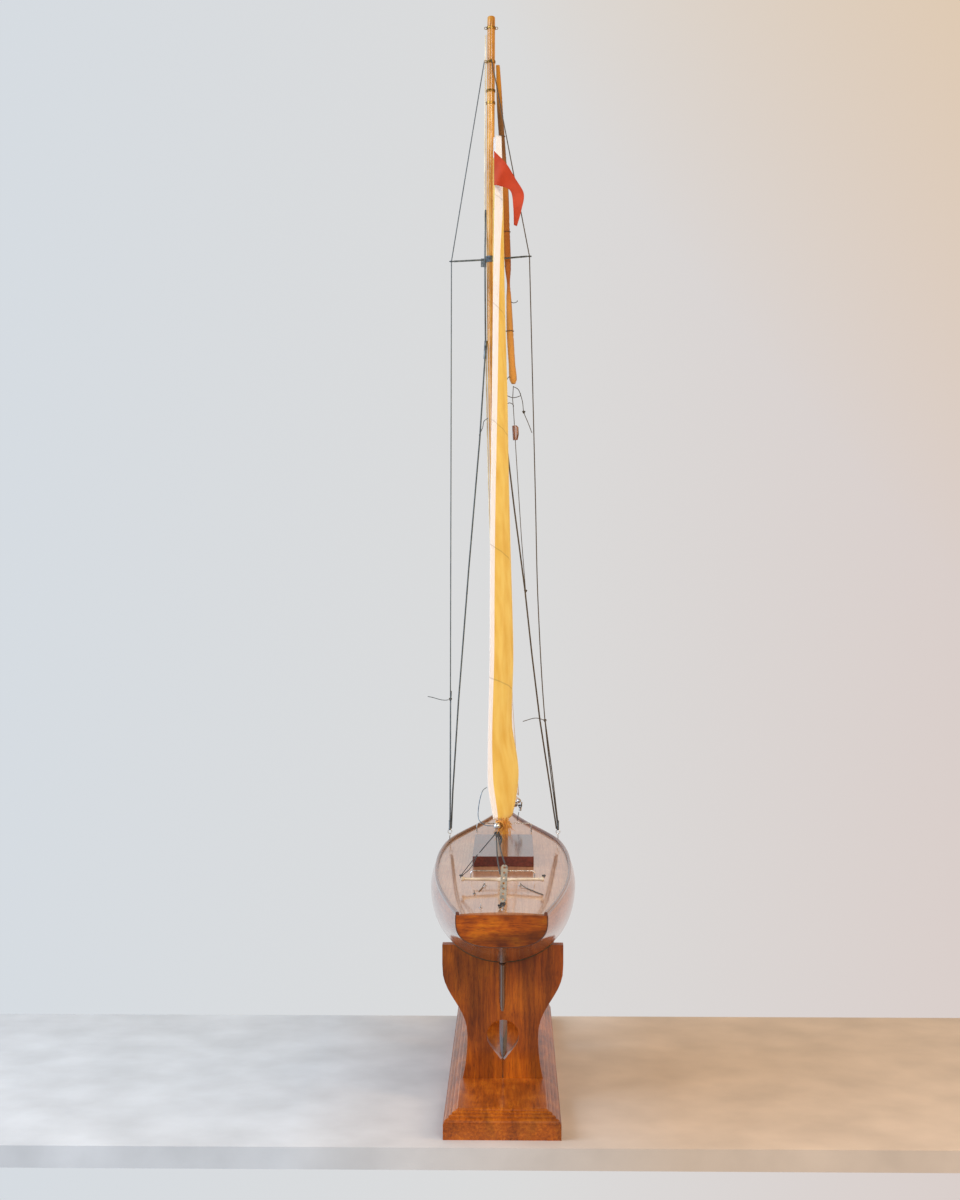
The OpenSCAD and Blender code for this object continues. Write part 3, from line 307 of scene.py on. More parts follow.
def varnished(name, dark, middle, light, grain=(1, 1, .08), width=.004, figure=.05, gloss=.12, coat=1.0,
              edges=0, smoke=0):
    """Varnished wood: growth lines and pores stretched along the grain, broad figure, and a clear coat.
    grain is how much each axis is stretched, width the spacing of the lines and figure of the broad tone.
    gloss is the coat's roughness, edges rounds its highlights, and smoke is how dark old polish clouds it."""
    made = material(name, Roughness=.42, Specular_IOR_Level=.25, Coat_Weight=coat, Coat_Roughness=gloss)
    place = add(made, "TexCoord").outputs["Object"]
    run = add(made, "Mapping", {"Vector": place, "Scale": grain})
    lines = add(made, "TexNoise", {"Vector": run.outputs[0], "Scale": 1 / width, "Detail": 5,
                                   "Roughness": .6, "Distortion": .6})
    pores = add(made, "TexNoise", {"Vector": run.outputs[0], "Scale": 6 / width, "Detail": 2})
    broad = add(made, "TexNoise", {"Vector": place, "Scale": 1 / figure, "Detail": 3, "Distortion": .4})
    tone = add(made, "Mix", {0: .45, 2: lines.outputs["Fac"], 3: broad.outputs["Fac"]}, data_type="FLOAT")
    colour = add(made, "ValToRGB", {"Fac": tone.outputs[0]},
                 [(.32, linear(dark)), (.5, linear(middle)), (.66, linear(light))])
    dots = add(made, "ValToRGB", {"Fac": pores.outputs["Fac"]},
               [(.34, (.62, .62, .62, 1)), (.44, (1, 1, 1, 1))])
    shade = add(made, "Mix", {0: 1.0, 6: colour.outputs["Color"], 7: dots.outputs["Color"]},
                data_type="RGBA", blend_type="MULTIPLY")
    if smoke:
        cloud = add(made, "TexNoise", {"Vector": run.outputs[0], "Scale": 1 / .05, "Detail": 4,
                                       "Distortion": 1.2})
        dusk = add(made, "ValToRGB", {"Fac": cloud.outputs["Fac"]},
                   [(.42, (1, 1, 1, 1)), (.62, (1 - smoke, 1 - smoke, 1 - smoke, 1))])
        shade = add(made, "Mix", {0: 1.0, 6: shade.outputs[2], 7: dusk.outputs["Color"]},
                    data_type="RGBA", blend_type="MULTIPLY")
    bump = add(made, "Bump", {"Height": lines.outputs["Fac"], "Strength": .12, "Distance": .0004})
    joined(made, Base_Color=shade.outputs[2], Normal=bump.outputs["Normal"])
    if edges:
        soft = add(made, "Bevel", {"Radius": edges}, samples=4)
        joined(made, Coat_Normal=soft.outputs["Normal"])
    return made


def finish_nodes(finish, *nodes):
    """Gives carried-over solids their finish."""
    for node in nodes:
        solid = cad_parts[node]
        if not solid.material_slots:
            solid.data.materials.append(finish)
        for place in solid.material_slots:
            place.material = finish


# warm orange brown, darkened in soft clouds by old polish, with long grain and rounded bright edges
base_mahogany = varnished("french_polished_mahogany_base", "#6A2E04", "#A8540A", "#CC7418", (1, .08, 1),
                          coat=.45, edges=.0012, smoke=.35)
board_mahogany = varnished("french_polished_mahogany_board", "#7A3404", "#AE5608", "#CC6E0E", (1, 1, .08),
                           coat=.4, edges=.0015, smoke=.5)
finish_nodes(base_mahogany, "base")
finish_nodes(board_mahogany, "end_board_aft", "end_board_fore")
# pressed wool: no gloss, a fine nap about 1.1 mm apart, and a little pale sheen at the rim
felt = material("green_wool_felt", Roughness=.95, Sheen_Weight=.4)
nap = add(felt, "TexNoise", {"Vector": add(felt, "TexCoord").outputs["Object"], "Scale": 900, "Detail": 4})
felt_tone = add(felt, "ValToRGB", {"Fac": nap.outputs["Fac"]},
                [(.3, linear("#27301F")), (.7, linear("#56624A"))])
felt_bump = add(felt, "Bump", {"Height": nap.outputs["Fac"], "Strength": .8, "Distance": .0006})
joined(felt, Base_Color=felt_tone.outputs["Color"], Normal=felt_bump.outputs["Normal"])
finish_nodes(felt, "cradle_felts")


def metal(name, dark, light, roughness=.28, grit=.0012):
    """A worn metal: tarnish in soft patches, with fine scratches in its gloss."""
    made = material(name, Metallic=1.0)
    place = add(made, "TexCoord").outputs["Object"]
    patch = add(made, "TexNoise", {"Vector": place, "Scale": 1 / .006, "Detail": 5})
    fine = add(made, "TexNoise", {"Vector": place, "Scale": 1 / grit, "Detail": 2})
    tone = add(made, "ValToRGB", {"Fac": patch.outputs["Fac"]}, [(.35, linear(dark)), (.6, linear(light))])
    rough = add(made, "MapRange", {"Value": patch.outputs["Fac"], "From Min": .3, "From Max": .7,
                                   "To Min": roughness + .25, "To Max": roughness})
    bump = add(made, "Bump", {"Height": fine.outputs["Fac"], "Strength": .25, "Distance": .0001})
    return joined(made, Base_Color=tone.outputs["Color"], Roughness=rough.outputs["Result"],
                  Normal=bump.outputs["Normal"])


bright_steel = metal("bright_steel", "#7C7F82", "#C9CDD0")
nickel = metal("worn_nickel_plate", "#8A8C8C", "#E6E7E8", .16)
dull_metal = metal("dull_grey_steel", "#4A5258", "#7F888E", .4)
brass = metal("aged_brass", "#5E4420", "#B58C48", .3)
finish_nodes(bright_steel, "board_screws")

# ---- Hull ----
# A hollow hull of varnished mahogany planks, 5 mm thick, closed at the stern by a 5 mm transom board.
# The planks run from end to end, and the flanks are rubbed smooth and varnished.
BODY_LINE = [[0, 0], [.1, .243], [.2, .549], [.306, .868], [.45, 1], [.6, .94],
             [.7, .78], [.8, .5], [.9, .08], [1, -.56]]
FULLNESS = [[0, 2.8], [.2, 2.15], [.35, 2], [.65, 1.95], [.85, 1.6], [1, 1.4]]
HULL_FOOT, HULL_WALL = 197.1, 5
TRANSOM_FOOT, TRANSOM_THICK, TRANSOM_RAKE = 283, 5, 6
TUMBLEHOME, WIDEST = 6, .12


def hull_bottom(s):
    return TRANSOM_FOOT - (TRANSOM_FOOT - HULL_FOOT) * smooth(BODY_LINE, s)


def hull_skin(s, q, inset=0, lift=0):
    """Sections of the hull: q runs from -1 at the port deck edge through 0 at the keel to 1 at the starboard
    one. Above the widest point the side curves in to the deck; below it a section is a superellipse."""
    s, q = np.broadcast_arrays(s, q)
    half = np.maximum(half_breadth(s) - inset, .3)
    wide = half + TUMBLEHOME * np.sin(math.pi * np.clip(s, 0, 1)) ** .8
    top = deck_edge(s) + lift
    low = np.minimum(hull_bottom(s) + inset, top - 2)
    middle = deck_edge(s) + (hull_bottom(s) - deck_edge(s)) * .16
    power = 2 / smooth(FULLNESS, s)
    w = 1 - np.abs(q)
    above = np.clip(w / WIDEST, 0, 1)
    a = np.clip((w - WIDEST) / (1 - WIDEST), 0, 1) * math.pi / 2
    side_x = half + (wide - half) * np.sin(above * math.pi / 2)
    x = np.where(w < WIDEST, side_x, wide * np.abs(np.cos(a)) ** power)
    z = np.where(w < WIDEST, top + (middle - top) * above, middle - (middle - low) * np.sin(a) ** power)
    rake = TRANSOM_RAKE * np.maximum(0, 1 - s / .12)
    y = STERN + LENGTH * s + rake * (deck_edge(s) - z) / (DECK_Z - TRANSOM_FOOT)
    return np.stack([np.sign(q) * x, y, z], -1)


def skins(name, outer, inner, uv=None, keep=None, sharp=40):
    """A closed wall between two grids of points: both faces, and a strip along every free edge."""
    rows, columns = outer.shape[:2]
    count = rows * columns
    quads = grid_faces(rows, columns)
    if keep is not None:
        quads = quads[keep.ravel()]
    start, end = quads.ravel(), np.roll(quads, -1, axis=1).ravel()
    free = ~np.isin(start * count + end, end * count + start)
    wall = np.stack([end, start, start + count, end + count], -1)[free]
    faces = np.concatenate([quads, quads[:, ::-1] + count, wall])
    both = None if uv is None else np.concatenate([uv.reshape(-1, 2), uv.reshape(-1, 2)])
    return piece(name, np.concatenate([outer.reshape(-1, 3), inner.reshape(-1, 3)]), faces, both, sharp)


def feeding(made, socket):
    """What is linked to a socket of the material's Principled shader."""
    return made.node_tree.nodes["Principled BSDF"].inputs[socket].links[0].from_socket


def planked(made, coordinate, width, depth=.0003, dark=.45):
    """Adds dark seams between planks to a wood's colour and height, across one coordinate."""
    seam = add(made, "Math", {0: coordinate, 1: width}, operation="PINGPONG")
    line = add(made, "MapRange", {"Value": seam.outputs[0], "From Min": 0, "From Max": .0007,
                                  "To Min": dark, "To Max": 1})
    shade = add(made, "Mix", {0: 1.0, 6: feeding(made, "Base Color"), 7: line.outputs["Result"]},
                data_type="RGBA", blend_type="MULTIPLY")
    groove = add(made, "Bump", {"Height": line.outputs["Result"], "Strength": .5, "Distance": depth,
                                "Normal": feeding(made, "Normal")})
    return joined(made, Base_Color=shade.outputs[2], Normal=groove.outputs["Normal"])


# pinkish brown planks with a dark seam every 9 mm of girth, under a deep clear gloss
hull_mahogany = varnished("varnished_planked_mahogany", "#6E3A22", "#9A5A38", "#B87850", (1, .05, 1), .003,
                          .09, gloss=.1)
girth = add(hull_mahogany, "SeparateXYZ", {0: add(hull_mahogany, "UVMap").outputs[0]})
planked(hull_mahogany, girth.outputs[0], .009)
s_grid = np.concatenate([np.linspace(TRANSOM_THICK / LENGTH, .9, 150), np.linspace(.903, 1, 40)])[:, None]
q_grid = np.linspace(-1, 1, 121)[None]
outer_skin = hull_skin(s_grid, q_grid)
inner_skin = hull_skin(s_grid, q_grid, HULL_WALL)
inner_skin[..., 2] = np.minimum(inner_skin[..., 2], deck_edge(s_grid) - .02)
inner_skin[-1] = outer_skin[-1] * [.2, 1, 1] - [0, 1.5, 0]
around = np.cumsum(np.linalg.norm(np.diff(outer_skin[60], axis=0, prepend=outer_skin[60][:1]), axis=1)) * MM
hull_uv = np.stack(np.broadcast_arrays(around[None], s_grid * LENGTH * MM), -1)
hull = placed(skins("hull_planking", outer_skin, inner_skin, hull_uv, sharp=45), "yacht",
              hull_mahogany, ["hull_shell"])

# a glowing orange board whose grain runs across it, with dark smoky patches
transom_mahogany = varnished("varnished_mahogany_transom", "#742E02", "#B45602", "#DA7C0C", (.12, 1, 1), .006,
                             .02, coat=.35, smoke=.6)


def filled(name, rim_back, rim_front, rings=10, bow=0):
    """A board between two rims: each face closes in rings towards its middle, which may stand out by bow."""
    share_in = (np.arange(rings + 1) / rings)[:, None, None]
    back = rim_back[None] * (1 - share_in) + rim_back.mean(0) * share_in
    back[..., 1] -= bow * np.sin(share_in[..., 0] * math.pi / 2)
    front = rim_front[None] * (1 - share_in) + rim_front.mean(0) * share_in
    grid = np.concatenate([front[::-1], back])
    return piece(name, grid, ring_faces(*grid.shape[:2], capped=False), sharp=30)


q_rim = np.linspace(-1, 1, 121)
rim_back = hull_skin(np.zeros(1), q_rim)
rim_front = hull_skin(np.full(1, TRANSOM_THICK / LENGTH), q_rim)
top_edge = np.linspace(1, -1, 41)[1:-1]


def with_top(rim, s):
    """The transom's rim, closed along its cambered top edge."""
    half = half_breadth(s)
    top = np.stack([half * top_edge, np.full(39, STERN + LENGTH * s), np.full(39, deck_edge(s))], 1)
    return np.concatenate([rim, top])


transom = filled("transom_panel", with_top(rim_back, 0.0), with_top(rim_front, TRANSOM_THICK / LENGTH))
placed(transom, "yacht", transom_mahogany, ["transom_board"])

bead = tube("transom_bead", hull_skin(np.zeros(1), q_rim) - [0, .1, 0], .55, 10, (0, 1, 0))
# varnish that has gathered and darkened in the joint round the board
seam_varnish = varnished("dark_seam_varnish", "#2A1206", "#4A2410", "#5E3218", (1, .1, 1), .003, .03)
placed(bead, "yacht", seam_varnish)

# ---- Deck ----
# Narrow varnished planks laid fore and aft with dark seams, and let in flush with the hull's sides.
# A dark rail runs along each edge, over the joint between deck and hull.
HATCH_W, HATCH_Y0, HATCH_Y1 = 42.4, -72.8, 123.8
# pale pinkish planks with faint seams 4.5 mm apart, glossy enough to mirror the rig
deck_wood = varnished("varnished_deck_planks", "#9A6A4C", "#B8845E", "#C89A74", (1, .05, 1), .003, .08,
                      gloss=.08)
athwart = add(deck_wood, "SeparateXYZ", {0: add(deck_wood, "TexCoord").outputs["Object"]})
planked(deck_wood, athwart.outputs[0], .0045, .0001, .8)
deck_s = np.linspace((TRANSOM_THICK + .5) / LENGTH, .949, 120)
deck_s = np.unique(np.concatenate([deck_s, share([HATCH_Y0, HATCH_Y1])]))[:, None]
deck_half = half_breadth(deck_s) - HULL_WALL
inner_half = np.minimum(HATCH_W, deck_half * .5)
spread = np.linspace(0, 1, 13)[None]
columns = np.concatenate([-deck_half + (deck_half - inner_half) * spread,
                          -inner_half + 2 * inner_half * np.linspace(0, 1, 21)[None, 1:-1],
                          inner_half + (deck_half - inner_half) * spread], 1)
deck_y = np.broadcast_to(STERN + LENGTH * deck_s, columns.shape)
deck_z = deck_edge(deck_s) + CAMBER * (1 - (columns / (deck_half + HULL_WALL)) ** 2)
deck_upper = np.stack([columns, deck_y, deck_z], -1)
middle_y = (deck_y[:-1, :-1] + deck_y[1:, :-1]) / 2
middle_x = (columns[:-1, :-1] + columns[:-1, 1:]) / 2
solid = ~((middle_y > HATCH_Y0) & (middle_y < HATCH_Y1) & (np.abs(middle_x) < HATCH_W - .5))
placed(skins("deck_planking", deck_upper, deck_upper - [0, 0, 3], keep=solid), "yacht",
       deck_wood, ["deck"])
finish_nodes(deck_wood, "mast_step")

# darker than the deck, so that it draws a clean line round it
rail_wood = varnished("dark_varnished_rail", "#4A2414", "#6E3A22", "#8A5034", (1, .06, 1), .002, .06)
RAIL_WIDE, RAIL_HIGH = 4.6, 4.5
# the rail's section as shares of its width and height: square feet, round shoulders
RAIL_SECTION = np.array([[1, 0], [1, .55], [.97, .8], [.86, .95], [.7, 1], [.3, 1], [.14, .95], [.03, .8],
                         [0, .55], [0, 0]])
rail_s = np.linspace(0, 1, 220)[:, None]
for side, word in ((-1, "port"), (1, "starboard")):
    out = half_breadth(rail_s)
    inside = np.maximum(out - RAIL_WIDE, 0)
    x = inside + (out - inside) * RAIL_SECTION[None, :, 0]
    ring = np.stack([side * x, np.broadcast_to(STERN + LENGTH * rail_s, x.shape),
                     deck_edge(rail_s) + RAIL_HIGH * RAIL_SECTION[None, :, 1]], -1)
    faces = ring_faces(*ring.shape[:2])
    if side < 0:
        # the port rail is the starboard one mirrored, so its faces turn the other way to point outwards
        faces = [face[:1] + face[:0:-1] for face in faces]
    placed(piece("deck_rail_" + word, ring, faces), "yacht", rail_wood, ["deck_rails"])

# ---- Hatch, deck fittings ----
# A dark red varnished lid lifts off its coaming. Horses, eyes, chainplates and the stem fitting are nickelled
# and fixed to the deck; the two horses are bent from one piece of wire each.
# nearly black red, with a bright line along its rounded edges
hatch_wood = varnished("dark_red_varnished_lid", "#2E0C08", "#511A12", "#6B2A1C", (1, .06, 1), .003, .05,
                       edges=.0008)
finish_nodes(hatch_wood, "hatch_lid")
finish_nodes(rail_wood, "hatch_coaming")
finish_nodes(nickel, "chainplates", "deck_eyes", "stem_fitting", "sheet_adjuster", "boom_fittings",
             "jib_boom_fittings")
finish_nodes(dull_metal, "spreaders", "shroud_fittings")
finish_nodes(brass, "keel_bolts", "rudder_tube", "mast_collar", "mast_bands", "gooseneck_band",
             "rudder_stock")


def wire_horse(name, y):
    """A staple of 1.8 mm wire: two legs into the deck, joined by rounded corners and a straight bar."""
    half, corner = 46, 4
    foot = float(deck_top(half, y)) + .4
    top = float(deck_top(0, y)) + 14
    bend = np.linspace(0, math.pi / 2, 9)
    left = np.stack([-half + corner * (1 - np.cos(bend)), np.full(9, y),
                     top - corner + corner * np.sin(bend)], 1)
    path = np.concatenate([[[-half, y, foot]], left, (left * [-1, 1, 1])[::-1], [[half, y, foot]]])
    return placed(tube(name + "_wire", stretched(path, .8), .9, 14), "yacht", nickel, [name])


wire_horse("main_horse", -198)
wire_horse("jib_horse", 235)

# ---- Keel and rudder ----
# A painted wooden fin with a cast lead foot, bolted up into the hull, and a small skeg abaft it.
# The rudder is varnished wood on a brass stock, turned by a pale boxwood yoke above the deck.


def foil_loop(start, end, thick, turns=36):
    """A streamlined outline: its half thickness is a power of a sine, fullest ahead of the middle."""
    u = np.linspace(0, 1, turns)
    half = thick[..., None] / 2 * np.sin(math.pi * u ** .75) ** .55
    y = end[..., None] + (start - end)[..., None] * u
    x = np.concatenate([half, -half[..., -2:0:-1]], -1)
    return x, np.concatenate([y, y[..., -2:0:-1]], -1)


def foil_body(name, planes, z, top=None, sharp=60):
    """A body of foils between planes of [height, start, end, thickness]. Its head may follow the hull's
    bottom, with each height between climbing in proportion."""
    planes = np.array(planes, float)
    start, end, thick = (np.interp(z, planes[:, 0], planes[:, k]) for k in (1, 2, 3))
    x, y = foil_loop(start, end, thick)
    height = np.broadcast_to(z[:, None], x.shape)
    if top is not None:
        climb = ((z - z[0]) / (z[-1] - z[0]))[:, None]
        height = z[0] + (top(y) - z[0]) * climb
    points = np.stack([x, y, height], -1)
    return piece(name, points, ring_faces(*points.shape[:2]), sharp=sharp)


KEEL = [[50, -112, 66, 10.8], [58, -122, 84, 12], [244, -142, 142, 12]]
# old oil paint over wood, satin, with the grain just showing through
keel_paint = varnished("dark_red_keel_paint", "#3A1510", "#59241B", "#6B3226", (1, .2, 1), .02, .06, .3, .6)
# dull blue-grey with a soft bloom and a coarse cast skin
lead = metal("aged_cast_lead", "#6A6C70", "#8C8E92", .5, .002)
keel_fin = foil_body("keel_fin_body", KEEL, np.linspace(84, 200, 40), lambda y: hull_bottom(share(y)) + 2.5)
placed(keel_fin, "yacht", keel_paint, ["keel_fin"])
ballast = foil_body("ballast_casting", KEEL, np.array([50, 50.6, 52, 54, 58, 65, 75, 84.0]))
placed(ballast, "yacht", lead, ["ballast_lead"])
finish_nodes(hull_mahogany, "skeg")
# nearly black brown, with the grain upright
rudder_wood = varnished("dark_varnished_rudder", "#2C160B", "#4A2915", "#6A4426", (1, 1, .08), .003, .05)
RUDDER = [[159.7, -23, 0, 6], [169.7, -31.3, 5.5, 8.8], [225.7, -32.2, 13.8, 11]]
blade_z = np.array([159.7, 160.2, 161.5, 164, 169.7, 180, 195, 210, 225.6])
blade = foil_body("rudder_board", [[z, a + RUDDER_Y, b + RUDDER_Y, t] for z, a, b, t in RUDDER], blade_z)
placed(blade, "rudder", rudder_wood, ["rudder_blade"])

# cream wood, close grained and only half glossy
boxwood = varnished("pale_boxwood", "#B7A68C", "#D6C8B0", "#E9DFCC", (.08, 1, 1), .003, .03, .25, .5)
yoke_z = float(deck_top(0, RUDDER_Y)) + 11
arm = np.linspace(-58.5, 58.5, 79)
swell_at = 2.1 + 2.6 * np.exp(-(arm / 5) ** 2) + 1.5 * np.exp(-((np.abs(arm) - 57) / 2.5) ** 2)
yoke_path = np.stack([arm, np.full(79, RUDDER_Y), yoke_z + .021 * np.abs(arm)], 1)
flat_oval = 1 - .35 * np.abs(np.sin(np.arange(20) / 20 * 2 * math.pi)) * np.exp(-(arm / 40) ** 6)[:, None]
yoke = tube("yoke_bar", yoke_path, swell_at[:, None] * flat_oval, 20, (0, 1, 0))
placed(yoke, "rudder", boxwood, ["steering_yoke"])

# ---- Spars ----
# Golden varnished pine, planed round and tapered. The mast stands on a step in the hull and leans a little to
# port. The main boom swings on the mast's gooseneck, and the jib boom at its own fore end.


def mast_radius(z):
    return np.interp(z, [MAST_FOOT, up(1)], [7, 6.5])


# bright gold with fine brown lines along each spar, under a clear gloss
spar_pine = varnished("golden_varnished_pine", "#74400C", "#C88828", "#ECBC64", (1, 1, .04), .0022, .06,
                      gloss=.1)
boom_pine = varnished("golden_varnished_boom", "#8A5010", "#C08028", "#DCA850", (1, .04, 1), .0022, .06,
                      gloss=.1)
MAST_HEEL = float(hull_bottom(share(MAST_Y))) + 16
mast_z = np.concatenate([np.linspace(MAST_HEEL + .2, MAST_FOOT, 12), np.linspace(MAST_FOOT + 8, 1700.5, 190),
                         [1701.8, 1702.8, 1703.5]])
mast_r = mast_radius(mast_z)
mast_r[-3:] *= [.93, .8, .5]
mast_path = np.stack([mast_x(mast_z), np.full(mast_z.shape, MAST_Y), mast_z], 1)
placed(tube("mast_spar", mast_path, mast_r, 32), "yacht", spar_pine, ["mast"])
BOOM_Z, PIN_Y = 429, 153
boom_start = np.array([float(mast_x(BOOM_Z)), PIN_Y - 6, BOOM_Z + 2])
boom_end = np.array([-7, -357, BOOM_Z + 1.0])
t = np.linspace(0, 1, 60)
boom_r = 4.5 * (1 - .35 * np.abs(t - .4) ** 1.5) * np.minimum(1, .5 + np.minimum(t, 1 - t) * 60)
placed(tube("main_boom_spar", lerp(boom_start, boom_end, t[:, None]), boom_r, 28, (1, 0, 0)), "main_boom",
       boom_pine, ["main_boom"])
tack = np.array([-.75, 417.1, 399.0])
jib_clew = np.array([25, 216.1, 403.0])
jib_r = 3.5 * np.minimum(1, .5 + np.minimum(t, 1 - t) * 40)
jib_boom = tube("jib_boom_spar", lerp(tack + [0, -5, 2], jib_clew + [0, 0, -4], t[:, None]), jib_r, 24,
                (0, 0, 1))
placed(jib_boom, "jib_boom", boom_pine, ["jib_boom"])

# ---- Standing and running rigging ----
# Waxed cord, grey to port and olive to starboard. Shrouds run from the mast over the spreaders and are tied
# down to the chainplates; the forestay and the jib's stay run to the stem fitting.
SPREADER_Z, SHROUD_HEAD_Z, LOWER_HEAD_Z = up(.7045), up(.945), up(.66)
PLATE_Z = float(deck_edge(share(plate_y))) + 12.5


def tip(side):
    """The end of a spreader, where a shroud bends over it."""
    return np.array([float(mast_x(SPREADER_Z)) + side * 64.5, plate_y, SPREADER_Z + side * 4])


def across(part, side):
    """A shroud's offset: a share of the way across from mast to chainplate, at a share of the height."""
    return float(lerp(mast_x(up(part[0])), side * plate_x, part[1]))


def by_mast(part, right=0, ahead=0, rise=0):
    """A point at a share of the mast's height, with its offsets from it to starboard, forward and up."""
    return np.array([float(mast_x(up(part))) + right, MAST_Y + ahead, up(part) + rise])


LOWER_PORT = [[.5946, .144], [.4853, .31], [.3298, .598], [.1691, .835], [.0583, .946]]
LOWER_STARBOARD = [[.497, .185], [.4002, .311], [.3033, .45], [.2241, .546], [.1449, .672]]
stay_side = mast_radius(SHROUD_HEAD_Z) + 4.6
head_x = float(mast_x(SHROUD_HEAD_Z))
upper_port = [[head_x - stay_side, MAST_Y, SHROUD_HEAD_Z], tip(-1), port_knot + [0, 0, 15],
              [-plate_x, plate_y, PLATE_Z + 8]]
STARBOARD_LINE = [[PLATE_Z + 8, plate_x], [up(.1449), .76 * plate_x], [up(.2909), .63 * plate_x],
                  [up(.4105), .585 * plate_x], [SPREADER_Z + 4, tip(1)[0]]]
down = np.linspace(SPREADER_Z + 4, PLATE_Z + 8, 60)
upper_starboard = np.concatenate([[[head_x + 1, MAST_Y - stay_side, SHROUD_HEAD_Z]],
                                  np.stack([smooth(STARBOARD_LINE, down), np.full(60, plate_y), down], 1)])
top_z = up(.7648)
lower_port = [[float(mast_x(top_z)) - mast_radius(top_z) - 1.4, MAST_Y - 1, top_z],
              [float(mast_x(SPREADER_Z)) - mast_radius(SPREADER_Z) - 2.4, MAST_Y - 9, SPREADER_Z]]
lower_port += [[across(p, -1), MAST_Y - (1 if p[1] < .2 else 3), up(p[0])] for p in LOWER_PORT]
lower_port += [[-plate_x + 2.4, plate_y, PLATE_Z + 9]]
lower_head_x = float(mast_x(LOWER_HEAD_Z)) + mast_radius(LOWER_HEAD_Z) + .9
lower_starboard = [[lower_head_x, MAST_Y - 1, LOWER_HEAD_Z]]
lower_starboard += [[across(p, 1), MAST_Y - 3, up(p[0])] for p in LOWER_STARBOARD]
lower_starboard += [[plate_x - 2.4, plate_y, PLATE_Z + 9]]
stay_foot = np.array([0, STERN + .966 * LENGTH, float(deck_edge(.966)) + 12])
stay_head = np.array([float(mast_x(SPREADER_Z - 12)), MAST_Y + 9, SPREADER_Z - 12])
jib_head = lerp(stay_foot, stay_head, .9)
forestay_head = [float(mast_x(up(1) - 20)), MAST_Y + 8.1, up(1) - 20]
for name, path, cord_colour, slot, side, thick in (
        ("upper_shroud_port", upper_port, grey_cord, "port_line", (0, 1, 0), 1.9),
        ("upper_shroud_starboard", upper_starboard, olive_cord, "starboard_line", (0, 1, 0), 1.9),
        ("lower_shroud_port", lower_port, grey_cord, "port_line", (0, 1, 0), 2.8),
        ("lower_shroud_starboard", lower_starboard, olive_cord, "starboard_line", (0, 1, 0), 2.8),
        ("forestay", [stay_foot + [0, 7, 0], forestay_head], olive_cord, "starboard_line", (1, 0, 0), 1.9),
        ("jib_stay", [stay_foot + [0, -1, 0], stay_head], olive_cord, "starboard_line", (1, 0, 0), 1.9)):
    placed(rope(name + "_cord", path, thick, side), "yacht", cord_colour, [name])
# below their knots the upper shrouds are doubled back through the chainplates
port_return = [port_knot + [1.5, 0, 14], port_knot + [.4, -1.3, -8],
               [-plate_x + 1.1, plate_y - .6, PLATE_Z + 9]]
placed(rope("upper_shroud_port_return", port_return, 1.9), "yacht", grey_cord)
starboard_return = [starboard_knot + [0, -1.5, 2],
                    lerp(starboard_knot, [plate_x, plate_y, PLATE_Z + 9], .5) + [1.5, -1.3, 0],
                    [plate_x + 1, plate_y - .6, PLATE_Z + 10]]
placed(rope("upper_shroud_starboard_return", starboard_return, 1.9), "yacht", olive_cord)
# nearly white cotton, so that it stands out against the golden mast
cream_cord = cord_finish("cream_halyard_cord", "#D8C8A4", "#FFF8E4")
fall = np.linspace(up(1) - 30, MAST_FOOT + 16, 60)
halyard = rope("halyard_cord", np.stack([mast_x(fall) - 9.2, np.full(60, MAST_Y + 2.6), fall], 1), LINE * 2)
placed(halyard, "yacht", cream_cord, ["halyard"])


def knot(name, centre, size, body, finish, nodes=()):
    """An overhand knot pulled up: a trefoil, where x is sin t + 2 sin 2t, z is cos t - 2 cos 2t and y is
    -1.3 sin 3t, drawn at its size across."""
    turn = np.linspace(.2, 2 * math.pi - .2, 60)
    curve = np.stack([np.sin(turn) + 2 * np.sin(2 * turn), -1.3 * np.sin(3 * turn),
                      np.cos(turn) - 2 * np.cos(2 * turn)], 1)
    tied = rope(name, np.asarray(centre, float) + curve * size / 6, size / 3.2, (.3, 1, .2), 3, .35)
    return placed(tied, body, finish, nodes)


loop_knot = by_mast(.5543, 52.7, rise=-48)
low_knot = [across(LOWER_STARBOARD[2], 1) + 1.2, MAST_Y - 1.4, up(LOWER_STARBOARD[2][0]) - 2]
for word, centre in (("port", port_knot), ("starboard", starboard_knot),
                     ("loop", loop_knot), ("low", low_knot)):
    knot("knot_" + word, centre, 4.6, "yacht", olive_cord, ["rigging_knots"])

# small dark wire hanks beside the furled sail, and a loose tail on the mast: each hank is
# [share of the mast's height, offset from the mast, reach, rise]
hank_wire = metal("dark_wire", "#2E2A26", "#6A645C", .4)
for k, (part, off, reach, rise) in enumerate([[.695, 16, 11, 4], [.655, 32, 11, -3], [.559, 24, 9, 5],
                                              [.541, 22, 24, -5], [.528, 21, 13, 4]]):
    start = by_mast(part, off, 12)
    bent = route([start, start + [reach * .5, -3, rise], start + [reach, -2, rise * .4],
                  start + [reach + 1, 1, -rise * .5]], 8)
    placed(tube(f"hank_{k}", bent, .6, 8, (0, 1, 0)), "yacht", hank_wire)
tail_top = by_mast(.512, -7.4)
mast_tail = rope("mast_tail", route([tail_top, tail_top + [-7, -4, -6], tail_top + [-9, -5, -16],
                                     tail_top + [-15, -6, -30]]), LINE)
placed(mast_tail, "yacht", grey_cord)

